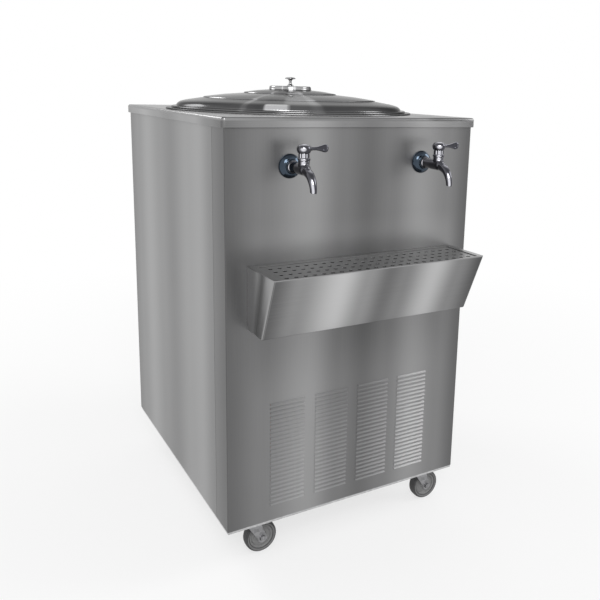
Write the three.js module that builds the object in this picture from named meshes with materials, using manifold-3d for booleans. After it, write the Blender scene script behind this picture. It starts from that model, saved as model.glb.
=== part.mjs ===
// A refrigerated juice dispenser: a folded steel cabinet on castors with a round tank sunk into its top,
// a domed lid, two lever taps, a drip tray, and the pump and cooling unit inside.
// Millimetres, +Z up, with the floor at z = 0 and the front facing -Y. Pieces are drawn about the middle of
// the cabinet, and the last lines move the whole so that the origin lies under the middle of its outline.
import * as THREE from "three";
import { mergeVertices } from "three/addons/utils/BufferGeometryUtils.js";
import Module from "manifold-3d";

const wasm = await Module();
wasm.setup();

// Driving dimensions
const cabinet = { width: 600, depth: 700, height: 880 }; // base pan to top plate, without castors and lid
const bayHeight = 405; // base pan's underside to the top of the shelf that carries the tank
const wheelRadius = 37.5; // castor wheels
const castorStack = 25; // top of a wheel to the base pan's underside
const sheet = 1.2; // stainless panel thickness
const seat = 0.3; // gap between pieces that rest on each other or run in each other
const overrun = 2; // how far a cutting tool runs past the face it cuts

// Places that follow from them
const baseZ = 2 * wheelRadius + castorStack;
const topZ = baseZ + cabinet.height;
const sideX = cabinet.width / 2;
const faceY = cabinet.depth / 2;
const innerX = sideX - sheet - seat;
const innerFrontY = faceY - sheet - seat;
const innerBackY = faceY - 2 * (sheet + seat);
const panelTop = topZ - sheet - seat;

// Materials
const steel = new THREE.MeshStandardMaterial({ color: 0x8f8f8f, metalness: 1, roughness: 0.38 });
const polished = new THREE.MeshStandardMaterial({ color: 0xa6a6a8, metalness: 1, roughness: 0.16 });
const chrome = new THREE.MeshStandardMaterial({ color: 0xc9ccd2, metalness: 1, roughness: 0.06 });
const zinc = new THREE.MeshStandardMaterial({ color: 0x8a8c8e, metalness: 1, roughness: 0.45 });
const aluminium = new THREE.MeshStandardMaterial({ color: 0xb4b6b8, metalness: 1, roughness: 0.4 });
const copper = new THREE.MeshStandardMaterial({ color: 0xb87048, metalness: 1, roughness: 0.35 });
const foam = new THREE.MeshStandardMaterial({ color: 0xe2d7a4, metalness: 0, roughness: 0.9 });
const blackPaint = new THREE.MeshStandardMaterial({ color: 0x1c1c1e, metalness: 0, roughness: 0.45 });
const plastic = new THREE.MeshStandardMaterial({ color: 0x232426, metalness: 0, roughness: 0.5 });
const rubber = new THREE.MeshStandardMaterial({ color: 0x3b3c3d, metalness: 0, roughness: 0.75 });

// A solid from a closed geometry
function solid(geometry) {
  const bare = geometry.index ? geometry.toNonIndexed() : geometry.clone();
  bare.deleteAttribute("normal");
  bare.deleteAttribute("uv");
  const merged = mergeVertices(bare);
  const index = merged.index.array;
  const kept = [];
  for (let i = 0; i < index.length; i += 3) {
    const [a, b, c] = [index[i], index[i + 1], index[i + 2]];
    if (a !== b && b !== c && c !== a) kept.push(a, b, c);
  }
  const mesh = new wasm.Mesh({
    numProp: 3,
    vertProperties: merged.attributes.position.array,
    triVerts: new Uint32Array(kept),
  });
  return new wasm.Manifold(mesh);
}

function join(...solids) {
  return wasm.Manifold.union(solids);
}

function cut(body, ...tools) {
  return body.subtract(wasm.Manifold.union(tools));
}

// A named mesh from a solid
function piece(name, body, material) {
  const made = body.getMesh();
  const positions = new Float32Array(made.numVert * 3);
  for (let i = 0; i < made.numVert; i += 1) {
    const start = i * made.numProp;
    positions.set(made.vertProperties.subarray(start, start + 3), i * 3);
  }
  const geometry = new THREE.BufferGeometry();
  geometry.setAttribute("position", new THREE.BufferAttribute(positions, 3));
  geometry.setIndex(new THREE.BufferAttribute(made.triVerts, 1));
  geometry.computeVertexNormals();
  const mesh = new THREE.Mesh(geometry, material);
  mesh.name = name;
  return mesh;
}

// A box between its lowest and highest value on each axis
function box(x, y, z) {
  const made = new THREE.BoxGeometry(x[1] - x[0], y[1] - y[0], z[1] - z[0]);
  made.translate((x[0] + x[1]) / 2, (y[0] + y[1]) / 2, (z[0] + z[1]) / 2);
  return solid(made);
}

function span(centre, length) {
  return [centre - length / 2, centre + length / 2];
}

// The corner radius of a many-sided hole whose flats clear a round piece by the seat gap
function holeRound(radius, sides) {
  return (radius + seat) / Math.cos(Math.PI / sides);
}

// Turns a geometry made round +Z so that it stands round +X or +Y, pointing the same way
function stand(geometry, axis) {
  if (axis === "x") geometry.rotateZ(Math.PI / 2).rotateY(Math.PI / 2);
  if (axis === "y") geometry.rotateX(-Math.PI / 2);
  return geometry;
}

// A profile of [radius, height] points turned about an axis. A flat faces down where flat is true.
function revolve(profile, sides, axis = "z", flat = false) {
  const points = profile.map(([r, h]) => new THREE.Vector2(r, h));
  if (points[0].x > 0) points.push(points[0].clone());
  if (THREE.ShapeUtils.area(points) < 0) points.reverse();
  const made = new THREE.LatheGeometry(points, sides, flat ? Math.PI / sides : 0);
  made.rotateX(Math.PI / 2);
  return solid(stand(made, axis));
}

function rod(radius, from, to, sides, axis = "z") {
  const profile = [
    [0, from],
    [radius, from],
    [radius, to],
    [0, to],
  ];
  return revolve(profile, sides, axis);
}

function polygon(points) {
  return new THREE.Shape(points.map(([x, y]) => new THREE.Vector2(x, y)));
}

// A shape drawn in X and Y, raised from one height to another
function raise(shape, from, to, curveSegments = 2) {
  const made = new THREE.ExtrudeGeometry(shape, {
    depth: to - from,
    bevelEnabled: false,
    curveSegments,
  });
  made.translate(0, 0, from);
  return solid(made);
}

// An outline of [y, z] points pushed along X
function pushX(points, x) {
  const made = new THREE.ExtrudeGeometry(polygon(points), {
    depth: x[1] - x[0],
    bevelEnabled: false,
  });
  made.rotateZ(Math.PI / 2).rotateY(Math.PI / 2);
  made.translate(x[0], 0, 0);
  return solid(made);
}

// A closed skin through rings of points
function loft(rings) {
  const sides = rings[0].length;
  const positions = rings.flat().flatMap((p) => [p.x, p.y, p.z]);
  const faces = [];
  for (let ring = 0; ring < rings.length - 1; ring += 1) {
    for (let i = 0; i < sides; i += 1) {
      const next = (i + 1) % sides;
      const [a, b] = [ring * sides + i, ring * sides + next];
      faces.push(a, b, b + sides, a, b + sides, a + sides);
    }
  }
  const last = (rings.length - 1) * sides;
  for (let i = 1; i < sides - 1; i += 1) {
    faces.push(0, i + 1, i);
    faces.push(last, last + i, last + i + 1);
  }
  const made = new THREE.BufferGeometry();
  made.setAttribute("position", new THREE.Float32BufferAttribute(positions, 3));
  made.setIndex(faces);
  return solid(made);
}

// Round rings along a line of [x, y, z, radius] stations, each square to the line
function taper(stations, sides) {
  const centres = stations.map(([x, y, z]) => new THREE.Vector3(x, y, z));
  const start = centres[1].clone().sub(centres[0]);
  const alongX = Math.abs(start.x) > Math.abs(start.y) + Math.abs(start.z);
  const side = alongX ? new THREE.Vector3(0, 1, 0) : new THREE.Vector3(1, 0, 0);
  const rings = stations.map(([, , , radius], i) => {
    const before = centres[Math.max(i - 1, 0)];
    const after = centres[Math.min(i + 1, centres.length - 1)];
    const along = after.clone().sub(before).normalize();
    const u = side.clone().cross(along).normalize();
    const v = along.clone().cross(u);
    return Array.from({ length: sides }, (_, k) => {
      const angle = (2 * Math.PI * k) / sides;
      const offset = u.clone().multiplyScalar(radius * Math.cos(angle));
      return offset.addScaledVector(v, radius * Math.sin(angle)).add(centres[i]);
    });
  });
  return loft(rings);
}

// A pipe's centre line through given points
class Route extends THREE.Curve {
  constructor(vertices) {
    super();
    this.vertices = vertices;
    this.steps = vertices.length - 1;
  }

  getPointAt(u) {
    return this.vertices[Math.round(u * this.steps)].clone();
  }

  getTangentAt(u) {
    const i = Math.round(u * this.steps);
    const before = this.vertices[Math.max(i - 1, 0)];
    const after = this.vertices[Math.min(i + 1, this.steps)];
    return after.clone().sub(before).normalize();
  }
}

// Straight runs between corner points, joined by arcs of one radius
function bentRoute(corners, bend, arcSteps = 2) {
  const at = corners.map((p) => new THREE.Vector3(...p));
  const vertices = [at[0]];
  for (let i = 1; i < at.length - 1; i += 1) {
    const back = at[i - 1].clone().sub(at[i]).normalize();
    const ahead = at[i + 1].clone().sub(at[i]).normalize();
    const half = back.angleTo(ahead) / 2;
    const start = at[i].clone().addScaledVector(back, bend / Math.tan(half));
    const end = at[i].clone().addScaledVector(ahead, bend / Math.tan(half));
    const toCentre = back.clone().add(ahead).normalize();
    const centre = at[i].clone().addScaledVector(toCentre, bend / Math.sin(half));
    const turn = Math.PI - 2 * half;
    const axis = start.clone().sub(centre).cross(end.clone().sub(centre)).normalize();
    for (let k = 0; k <= arcSteps; k += 1) {
      const spoke = start.clone().sub(centre).applyAxisAngle(axis, (turn * k) / arcSteps);
      vertices.push(spoke.add(centre));
    }
  }
  vertices.push(at[at.length - 1]);
  return new Route(vertices);
}

function pipe(route, radius, sides) {
  const section = Array.from({ length: sides }, (_, k) => {
    const angle = (2 * Math.PI * (k + 1 / 2)) / sides;
    return [radius * Math.cos(angle), radius * Math.sin(angle)];
  });
  const made = new THREE.ExtrudeGeometry(polygon(section), {
    extrudePath: route,
    steps: route.steps,
    bevelEnabled: false,
  });
  return solid(made);
}

const model = new THREE.Group();

// Shelf: a deck across the cabinet, which carries the insulated tank. Its solid follows further down, once
// the pipes that pass through it are placed.
const shelf = { thickness: 1.6, flange: 24, topZ: baseZ + bayHeight };
shelf.underZ = shelf.topZ - shelf.thickness;

// Tank: a straight stainless drum with a dished floor, a drain stub and a flange that lies on the top plate
const tank = {
  fromSide: 50,
  fromEnds: 92,
  flangeFromFront: 39,
  aboveShelf: 45,
  cornerRadius: 40,
  dish: 9,
  flangeWidth: 48,
  flangeRise: 3.2,
  mouthRound: 3,
  outletRadius: 10,
  outletWall: 1.6,
  outletBelowShelf: 23,
  outletSides: 10,
  sides: 32,
};
tank.radius = Math.min(sideX - tank.fromSide, faceY - tank.fromEnds);
tank.outerRadius = tank.radius + sheet;
tank.flangeRadius = tank.radius + tank.flangeWidth;
tank.centreY = -faceY + tank.flangeFromFront + tank.flangeRadius;
tank.floorZ = shelf.topZ + tank.aboveShelf;
tank.flangeTop = topZ + seat + tank.flangeRise;
tank.outletOuter = tank.outletRadius + tank.outletWall;
tank.outletZ = shelf.underZ - tank.outletBelowShelf;

function tankSolid() {
  const cornerZ = tank.floorZ + tank.dish + tank.cornerRadius;
  const corner = (radius, turns) =>
    turns.map((turn) => [
      tank.radius - tank.cornerRadius + radius * Math.cos(turn),
      cornerZ + radius * Math.sin(turn),
    ]);
  const quarter = [-Math.PI / 2, -Math.PI / 4, 0];
  const flangeUnder = tank.flangeTop - sheet;
  // The mouth is bevelled on both faces of the sheet, so that it keeps its thickness round the bend
  const bevel = tank.mouthRound + sheet * (Math.SQRT2 - 1);
  const shell = [
    [0, tank.floorZ - sheet],
    ...corner(tank.cornerRadius + sheet, quarter),
    [tank.outerRadius, tank.flangeTop - bevel],
    [tank.radius + bevel, flangeUnder],
    [tank.flangeRadius - sheet, flangeUnder],
    [tank.flangeRadius - sheet, topZ + seat],
    [tank.flangeRadius, topZ + seat],
    [tank.flangeRadius, tank.flangeTop],
    [tank.radius + tank.mouthRound, tank.flangeTop],
    [tank.radius, tank.flangeTop - tank.mouthRound],
    ...corner(tank.cornerRadius, quarter.toReversed()),
    [0, tank.floorZ],
  ];
  const stub = rod(tank.outletOuter, tank.outletZ, tank.floorZ - seat, tank.outletSides);
  const bore = rod(tank.outletRadius, tank.outletZ - overrun, tank.floorZ + overrun, tank.outletSides);
  return cut(join(revolve(shell, tank.sides), stub), bore);
}

function atTank(body) {
  return body.translate(0, tank.centreY, 0);
}

const tankGroup = new THREE.Group();
tankGroup.position.set(0, tank.centreY, 0);
tankGroup.add(piece("juice_tank", tankSolid(), polished));
model.add(tankGroup);

// Evaporator: one copper tube wound round the tank, with both tails leaving through the shelf at the back
const coil = {
  tubeRadius: 4.5,
  turns: 4,
  stepsPerTurn: 16,
  aboveFloor: 75,
  belowTop: 43,
  tailBelowShelf: 20,
  returnGap: 9,
  returnX: 18,
  returnRise: 12,
  sides: 5,
};
coil.radius = (tank.outerRadius + seat + coil.tubeRadius) / Math.cos(Math.PI / coil.stepsPerTurn);
coil.returnRadius = coil.radius + 2 * coil.tubeRadius + coil.returnGap;
coil.lowestZ = tank.floorZ + coil.aboveFloor;
coil.highestZ = topZ - coil.belowTop;
coil.crestZ = coil.highestZ + coil.returnRise;
coil.tailZ = shelf.underZ - coil.tailBelowShelf;

function coilRoute() {
  const vertices = [new THREE.Vector3(0, coil.radius, coil.tailZ)];
  const steps = coil.turns * coil.stepsPerTurn;
  for (let i = 0; i <= steps; i += 1) {
    const turn = Math.PI / 2 + (2 * Math.PI * i) / coil.stepsPerTurn;
    const z = coil.lowestZ + ((coil.highestZ - coil.lowestZ) * i) / steps;
    vertices.push(new THREE.Vector3(coil.radius * Math.cos(turn), coil.radius * Math.sin(turn), z));
  }
  const crestY = (coil.radius + coil.returnRadius) / 2;
  vertices.push(new THREE.Vector3(-coil.returnX, crestY, coil.crestZ));
  vertices.push(new THREE.Vector3(-coil.returnX, coil.returnRadius, coil.highestZ));
  vertices.push(new THREE.Vector3(-coil.returnX, coil.returnRadius, coil.tailZ));
  return new Route(vertices);
}

tankGroup.add(piece("evaporator_coil", pipe(coilRoute(), coil.tubeRadius, coil.sides), copper));

// Insulation: a foam block round the tank and the coil, standing on the shelf
const insulation = { frontGap: 37, passGap: 1.5, pocketSides: 32 };
insulation.frontY = -faceY + insulation.frontGap;
insulation.pocketRadius = holeRound(coil.radius + coil.tubeRadius, insulation.pocketSides);

// Holes that the shelf and the insulation share
function outletPass(z) {
  return atTank(rod(tank.outletOuter + insulation.passGap, ...z, tank.outletSides));
}

function coilTailPass(z) {
  const reach = coil.tubeRadius + insulation.passGap;
  const y = [tank.centreY + coil.radius - reach, tank.centreY + coil.returnRadius + reach];
  return box([-coil.returnX - reach, reach], y, z);
}

function insulationBlock() {
  const z = [shelf.topZ + seat, panelTop - seat];
  const below = z[0] - overrun;
  const pocketFloor = tank.floorZ - sheet - seat;
  return cut(
    box([-innerX, innerX], [insulation.frontY, innerBackY - seat], z),
    atTank(rod(insulation.pocketRadius, pocketFloor, topZ, insulation.pocketSides)),
    outletPass([below, tank.floorZ]),
    coilTailPass([below, coil.crestZ + coil.tubeRadius + overrun]),
  );
}
model.add(piece("tank_insulation", insulationBlock(), foam));

// Louvres: rows of slits across a sheet, each with a lip pressed outwards over it
const frontLouvre = {
  columns: 4,
  rows: 25,
  sideMargin: 97.5,
  columnGap: 27,
  aboveBase: 42,
  fieldHeight: 238,
  slit: 3.8,
  lipOut: 3.6,
  lipDrop: 2.6,
  lipThickness: 0.9,
};
const rearLouvre = {
  columns: 2,
  rows: 6,
  sideMargin: 87,
  columnGap: 46,
  aboveBase: 70,
  fieldHeight: 186,
  slit: 6,
  lipOut: 6,
  lipDrop: 4.5,
  lipThickness: 1,
};

// Each slit's range in X and its lower edge
function louvrePlaces(layout) {
  const field = cabinet.width - 2 * layout.sideMargin;
  const length = (field + layout.columnGap) / layout.columns - layout.columnGap;
  const rowPitch = (layout.fieldHeight - layout.slit) / (layout.rows - 1);
  const places = [];
  for (let column = 0; column < layout.columns; column += 1) {
    const left = -field / 2 + column * (length + layout.columnGap);
    for (let row = 0; row < layout.rows; row += 1) {
      places.push({ x: [left, left + length], z: baseZ + layout.aboveBase + row * rowPitch });
    }
  }
  return places;
}

// Cuts the slits in a sheet whose outer face is at y = face, and joins the lips to it
function louvred(blank, layout, face, outwards) {
  const back = face - outwards * sheet;
  const nose = face + outwards * layout.lipOut;
  const through = span(face, 2 * (sheet + overrun));
  const places = louvrePlaces(layout);
  const slits = places.map(({ x, z }) => box(x, through, [z, z + layout.slit]));
  const lips = places.map(({ x, z }) => {
    const top = z + layout.slit;
    const lip = [
      [back, top],
      [nose, top - layout.lipDrop],
      [face, top + layout.lipThickness],
    ];
    return pushX(lip, x);
  });
  return join(cut(blank, ...slits), ...lips);
}

// Taps: a plug valve with a lever and a long curved spout, held by a shank through the front sheet
const tap = {
  fromSide: 138,
  belowTop: 97,
  reach: 62,
  shankRadius: 9.5,
  shankInside: 14,
  barrelRadius: 12,
  noseLength: 15,
  neckRadius: 11,
  neckTop: 17,
  plugRadius: 7.2,
  plugDepth: 8.7,
  waterway: 4.6,
  boreSides: 8,
  sides: 12,
};
tap.centreX = sideX - tap.fromSide;
tap.axisZ = topZ - tap.belowTop;
tap.holeRadius = holeRound(tap.shankRadius, tap.sides);

// Drip tray: a folded trough hung on the front, wider at its top, with a ledge for the perforated plate
const tray = {
  fromSide: 47,
  belowTop: 294,
  height: 134,
  topReach: 126,
  bottomReach: 70,
  backRim: 15,
  endRim: 15,
  frontRim: 4,
  ledge: 6,
  ledgeDrop: 3.4,
};
tray.halfLength = sideX - tray.fromSide;
tray.topZ = topZ - tray.belowTop;
tray.bottomZ = tray.topZ - tray.height;
tray.backY = -faceY - seat;

// Waste pipe: where it leaves the tray and goes through the front sheet, the shelf and the base
const drain = {
  fromEnd: 13,
  behindFace: 18,
  aboveFloor: 12,
  belowBase: 6,
  radius: 6.7,
  wall: 1.5,
  bend: 12,
  sides: 8,
};
drain.x = tray.halfLength - drain.fromEnd;
drain.y = -faceY + drain.behindFace;
drain.z = tray.bottomZ + drain.aboveFloor;
drain.holeRadius = holeRound(drain.radius, drain.sides);

// Its hole through an upright sheet that starts at y = from
function drainHole(from) {
  const y = [from - overrun, from + sheet + overrun];
  return rod(drain.holeRadius, ...y, drain.sides, "y").translate(drain.x, 0, drain.z);
}

// Its hole through a level sheet
function drainPass(z) {
  return rod(drain.holeRadius, ...z, drain.sides).translate(drain.x, drain.y, 0);
}

// Cabinet: a front sheet folded round both corners, two side sheets and a back in two parts
const panel = {
  cornerRadius: 2,
  frontReturn: 67,
  seam: 0.8,
  baseReveal: 6,
  rearFlange: 24,
  coverBelowShelf: 77,
};
const panelBottom = baseZ + panel.baseReveal;
const rearCoverTop = shelf.underZ - panel.coverBelowShelf;

// The front sheet seen from above: a flat face with a return behind each rounded corner
function frontOutline() {
  const [outer, inner] = [panel.cornerRadius, panel.cornerRadius - sheet];
  const [cx, cy, back] = [sideX - outer, -faceY + outer, -faceY + panel.frontReturn];
  const line = new THREE.Shape();
  line.moveTo(-sideX, back);
  line.lineTo(-sideX, cy);
  line.absarc(-cx, cy, outer, Math.PI, Math.PI * 1.5, false);
  line.absarc(cx, cy, outer, -Math.PI / 2, 0, false);
  line.lineTo(sideX, back);
  line.lineTo(sideX - sheet, back);
  line.absarc(cx, cy, inner, 0, -Math.PI / 2, true);
  line.absarc(-cx, cy, inner, -Math.PI / 2, -Math.PI, true);
  line.lineTo(-sideX + sheet, back);
  return line;
}

function frontPanel() {
  const hole = rod(tap.holeRadius, -faceY - overrun, -faceY + sheet + overrun, tap.sides, "y");
  const blank = cut(
    raise(frontOutline(), panelBottom, panelTop),
    hole.translate(-tap.centreX, 0, tap.axisZ),
    hole.translate(tap.centreX, 0, tap.axisZ),
    drainHole(-faceY),
  );
  return louvred(blank, frontLouvre, -faceY, -1);
}
model.add(piece("front_panel", frontPanel(), steel));

// A side sheet meets the front's return at a seam and turns inwards at the back
function sidePanel(side) {
  const front = -faceY + panel.frontReturn + panel.seam;
  const back = faceY - sheet - seat;
  const outline = [
    [sideX, front],
    [sideX, back],
    [sideX - panel.rearFlange, back],
    [sideX - panel.rearFlange, back - sheet],
    [sideX - sheet, back - sheet],
    [sideX - sheet, front],
  ];
  return raise(polygon(outline.map(([x, y]) => [side * x, y])), panelBottom, panelTop);
}
model.add(piece("left_side_panel", sidePanel(-1), steel));
model.add(piece("right_side_panel", sidePanel(1), steel));

// Temperature control and mains inlet: both sit in the upper back sheet
const control = {
  fromSide: 95,
  belowShelf: 46,
  bodyWidth: 44,
  bodyHeight: 32,
  bodyDepth: 27,
  shaftRadius: 3,
  shaftOut: 10,
  shaftSides: 8,
  knobRadius: 17,
  knobDepth: 14,
  skirtDepth: 3,
  gripRadius: 14,
  pointerWidth: 3,
  pointerLength: 12,
  pointerRise: 1.4,
  sides: 14,
};
control.x = -sideX + control.fromSide;
control.z = shelf.underZ - control.belowShelf;
const inlet = {
  fromSide: 95,
  width: 46,
  height: 24,
  depth: 26,
  bezel: 6,
  bezelDepth: 2.4,
  recessWidth: 34,
  recessHeight: 17,
  recessDepth: 17,
  pinWidth: 2,
  pinHeight: 4,
  pinPitch: 9,
  pinDrop: 4,
  pinShort: 9,
};
inlet.x = sideX - inlet.fromSide;
inlet.z = control.z;

function backPanel() {
  const y = [faceY - sheet, faceY];
  const through = [y[0] - overrun, y[1] + overrun];
  const shaftHole = holeRound(control.shaftRadius, control.shaftSides);
  return cut(
    box([-sideX, sideX], y, [rearCoverTop + panel.seam, panelTop]),
    rod(shaftHole, ...through, control.shaftSides, "y").translate(control.x, 0, control.z),
    box(span(inlet.x, inlet.width + 2 * seat), through, span(inlet.z, inlet.height + 2 * seat)),
  );
}
model.add(piece("back_panel", backPanel(), steel));

function rearCover() {
  const blank = box([-sideX, sideX], [faceY - sheet, faceY], [panelBottom, rearCoverTop]);
  return louvred(blank, rearLouvre, faceY, 1);
}
model.add(piece("rear_cover", rearCover(), steel));

// Base pan: a folded tray that everything below the shelf stands on
const pan = { thickness: 2, lip: 32 };
pan.topZ = baseZ + pan.thickness;

function basePan() {
  const outside = box([-innerX, innerX], [-innerFrontY, innerBackY], [baseZ, pan.topZ + pan.lip]);
  const inside = box(
    [-innerX + pan.thickness, innerX - pan.thickness],
    [-innerFrontY + pan.thickness, innerBackY - pan.thickness],
    [pan.topZ, pan.topZ + pan.lip + overrun],
  );
  return cut(outside, inside, drainPass([baseZ - overrun, pan.topZ + overrun]));
}
model.add(piece("base_pan", basePan(), zinc));

// Feed to the taps: a riser from the pump behind the front sheet, and a header with a socket for each tap
const feed = {
  fromSide: 50,
  beforeInsulation: 12,
  radius: 6,
  bend: 22,
  straight: 44,
  sweep: 88,
  socketRadius: 8.5,
  endPast: 14,
  sides: 6,
};
feed.x = -sideX + feed.fromSide;
feed.y = insulation.frontY - feed.beforeInsulation;

function tankShelf() {
  const y = [-innerFrontY, innerBackY];
  const flangeZ = [shelf.topZ - shelf.flange, shelf.topZ];
  const through = [shelf.underZ - overrun, shelf.topZ + overrun];
  const riserPass = rod(holeRound(feed.radius, feed.sides), ...through, feed.sides);
  return cut(
    join(
      box([-innerX, innerX], y, [shelf.underZ, shelf.topZ]),
      box([-innerX, -innerX + shelf.thickness], y, flangeZ),
      box([innerX - shelf.thickness, innerX], y, flangeZ),
    ),
    outletPass(through),
    coilTailPass(through),
    riserPass.translate(feed.x, feed.y, 0),
    drainPass(through),
  );
}
model.add(piece("tank_shelf", tankShelf(), zinc));

// Top plate: a sheet with a hemmed skirt that drops over the panels, and a round hole for the tank
const top = { overhang: 6, skirt: 21, cornerRadius: 3, hemGap: 0.4 };

function topOutline(inset) {
  const radius = Math.max(top.cornerRadius - inset, sheet / 2);
  const [cx, cy] = [sideX + top.overhang - inset - radius, faceY + top.overhang - inset - radius];
  const line = new THREE.Shape();
  line.absarc(cx, cy, radius, 0, Math.PI / 2, false);
  line.absarc(-cx, cy, radius, Math.PI / 2, Math.PI, false);
  line.absarc(-cx, -cy, radius, Math.PI, Math.PI * 1.5, false);
  line.absarc(cx, -cy, radius, Math.PI * 1.5, Math.PI * 2, false);
  return line;
}

function topPlate() {
  const skirtZ = topZ - top.skirt;
  const hemInset = top.overhang - top.hemGap;
  const opening = holeRound(tank.outerRadius, tank.sides);
  return cut(
    raise(topOutline(0), skirtZ, topZ),
    raise(topOutline(sheet), skirtZ + sheet, topZ - sheet),
    raise(topOutline(hemInset), skirtZ - overrun, topZ - sheet, 1),
    atTank(rod(opening, skirtZ, topZ + overrun, tank.sides)),
  );
}
model.add(piece("top_plate", topPlate(), steel));

// Lid: a pressed dome with two rings, a flat crown, a brim and a locating ring that drops into the mouth.
// Its tops are heights above the top plate.
const lid = {
  fromFlange: 13,
  brimWidth: 11,
  brimDepth: 4,
  wallTop: 15,
  shoulderWidth: 22,
  shoulderTop: 22,
  outerRing: { radiusShare: 0.763, top: 30.5 },
  innerRing: { radiusShare: 0.409, top: 43.5 },
  ringStep: 2.2,
  crownRadius: 51,
  crownFoot: 51,
  crownTop: 60,
  crownRound: 2.5,
  locatorGap: 3.5,
  locatorDepth: 9,
};
lid.baseZ = tank.flangeTop + seat;
lid.brimRadius = tank.flangeRadius - lid.fromFlange;
lid.wallRadius = lid.brimRadius - lid.brimWidth;
lid.shoulderRadius = lid.wallRadius - lid.shoulderWidth;
lid.outerRing.radius = lid.outerRing.radiusShare * lid.wallRadius;
lid.innerRing.radius = lid.innerRing.radiusShare * lid.wallRadius;
lid.locatorRadius = tank.radius - lid.locatorGap;

// Lid knob: a turned mushroom whose stud goes through the crown to a nut below
const knob = { radius: 13, height: 21, studRadius: 3, nutRadius: 7, nutThickness: 5, sides: 10 };
knob.footZ = topZ + lid.crownTop + seat;
knob.nutTop = topZ + lid.crownTop - sheet - seat;

function lidSolid() {
  const skin = 2 * sheet;
  const brimZ = lid.baseZ + lid.brimDepth;
  const { outerRing, innerRing, crownRadius, wallRadius, shoulderRadius } = lid;
  const shoulderUnder = topZ + lid.shoulderTop - skin;
  const ringUnder = topZ + outerRing.top - lid.ringStep - skin;
  // Where the locating ring meets the sloping underside between the shoulder and the outer ring
  const inwards = (shoulderRadius - lid.locatorRadius) / (shoulderRadius - outerRing.radius);
  const locatorTop = shoulderUnder + inwards * (ringUnder - shoulderUnder);
  const locatorZ = lid.baseZ - lid.locatorDepth;
  const profile = [
    [0, topZ + lid.crownTop],
    [crownRadius - lid.crownRound, topZ + lid.crownTop],
    [crownRadius, topZ + lid.crownTop - lid.crownRound],
    [crownRadius, topZ + lid.crownFoot],
    [innerRing.radius, topZ + innerRing.top],
    [innerRing.radius, topZ + innerRing.top - lid.ringStep],
    [outerRing.radius, topZ + outerRing.top],
    [outerRing.radius, topZ + outerRing.top - lid.ringStep],
    [shoulderRadius, topZ + lid.shoulderTop],
    [wallRadius, topZ + lid.wallTop],
    [wallRadius, brimZ],
    [lid.brimRadius, brimZ],
    [lid.brimRadius, lid.baseZ],
    [wallRadius - sheet, lid.baseZ],
    [wallRadius - sheet, topZ + lid.wallTop - skin],
    [shoulderRadius, shoulderUnder],
    [lid.locatorRadius, locatorTop],
    [lid.locatorRadius, locatorZ],
    [lid.locatorRadius - sheet, locatorZ],
    [lid.locatorRadius - sheet, locatorTop],
    [outerRing.radius, ringUnder],
    [crownRadius - skin, topZ + lid.crownFoot - skin],
    [crownRadius - skin, topZ + lid.crownTop - sheet],
    [0, topZ + lid.crownTop - sheet],
  ];
  const holeZ = [topZ + lid.crownFoot, topZ + lid.crownTop + overrun];
  const studHole = rod(holeRound(knob.studRadius, knob.sides), ...holeZ, knob.sides);
  return cut(revolve(profile, tank.sides), studHole);
}
tankGroup.add(piece("lid", lidSolid(), polished));

// Shares of the knob's radius and of its height
const knobShares = [
  [0.62, 0],
  [0.38, 0.14],
  [0.27, 0.34],
  [0.27, 0.72],
  [0.86, 0.82],
  [1, 0.9],
  [0.8, 0.97],
  [0, 1],
];

function lidKnob() {
  const turned = knobShares.map(([r, h]) => [r * knob.radius, knob.footZ + h * knob.height]);
  const profile = [
    [0, knob.nutTop - knob.nutThickness],
    [knob.nutRadius, knob.nutTop - knob.nutThickness],
    [knob.nutRadius, knob.nutTop],
    [knob.studRadius, knob.nutTop],
    [knob.studRadius, knob.footZ],
    ...turned,
  ];
  return revolve(profile, knob.sides);
}
tankGroup.add(piece("lid_knob", lidKnob(), polished));

// The tray's front wall leans out. Where it is at a height, moved inwards by an inset square to it
const trayLean = (tray.topReach - tray.bottomReach) / tray.height;

function trayFrontY(z, inset) {
  const reach = tray.bottomReach + (z - tray.bottomZ) * trayLean;
  return tray.backY - reach + inset * Math.hypot(1, trayLean);
}

function traySection(inset, upTo) {
  const floor = tray.bottomZ + inset;
  return [
    [tray.backY - inset, upTo],
    [tray.backY - inset, floor],
    [trayFrontY(floor, inset), floor],
    [trayFrontY(upTo, inset), upTo],
  ];
}

// The plate's place inside the rim, drawn smaller by an inset
function trayWell(inset) {
  return {
    x: [-tray.halfLength + tray.endRim + inset, tray.halfLength - tray.endRim - inset],
    y: [tray.backY - tray.topReach + tray.frontRim + inset, tray.backY - tray.backRim - inset],
  };
}

function wellBlock(inset, z) {
  const { x, y } = trayWell(inset);
  return box(x, y, z);
}

const ledgeZ = tray.topZ - tray.ledgeDrop;

function dripTray() {
  const ends = [-tray.halfLength, tray.halfLength];
  const above = tray.topZ + overrun;
  const rimY = [tray.backY - tray.topReach, tray.backY];
  const hull = pushX(traySection(0, tray.topZ), ends);
  const hollow = pushX(traySection(sheet, above), [ends[0] + sheet, ends[1] - sheet]);
  const step = join(
    box(ends, rimY, [tray.topZ - sheet, tray.topZ]),
    wellBlock(-sheet, [ledgeZ - sheet, tray.topZ]),
  );
  const rim = cut(
    step.intersect(hull),
    wellBlock(0, [ledgeZ, above]),
    wellBlock(tray.ledge, [ledgeZ - sheet - overrun, above]),
  );
  return cut(join(cut(hull, hollow), rim), drainHole(tray.backY - sheet));
}
model.add(piece("drip_tray", dripTray(), steel));

// Drip plate: a loose sheet with a square grid of holes, lying on the tray's ledge
const plate = {
  thickness: 1.5,
  play: 0.8,
  columnPitch: 20,
  rowPitch: 25,
  sideMargin: 13,
  backMargin: 20,
  frontMargin: 10,
  holeRadius: 3.7,
  holeSides: 6,
};

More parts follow.
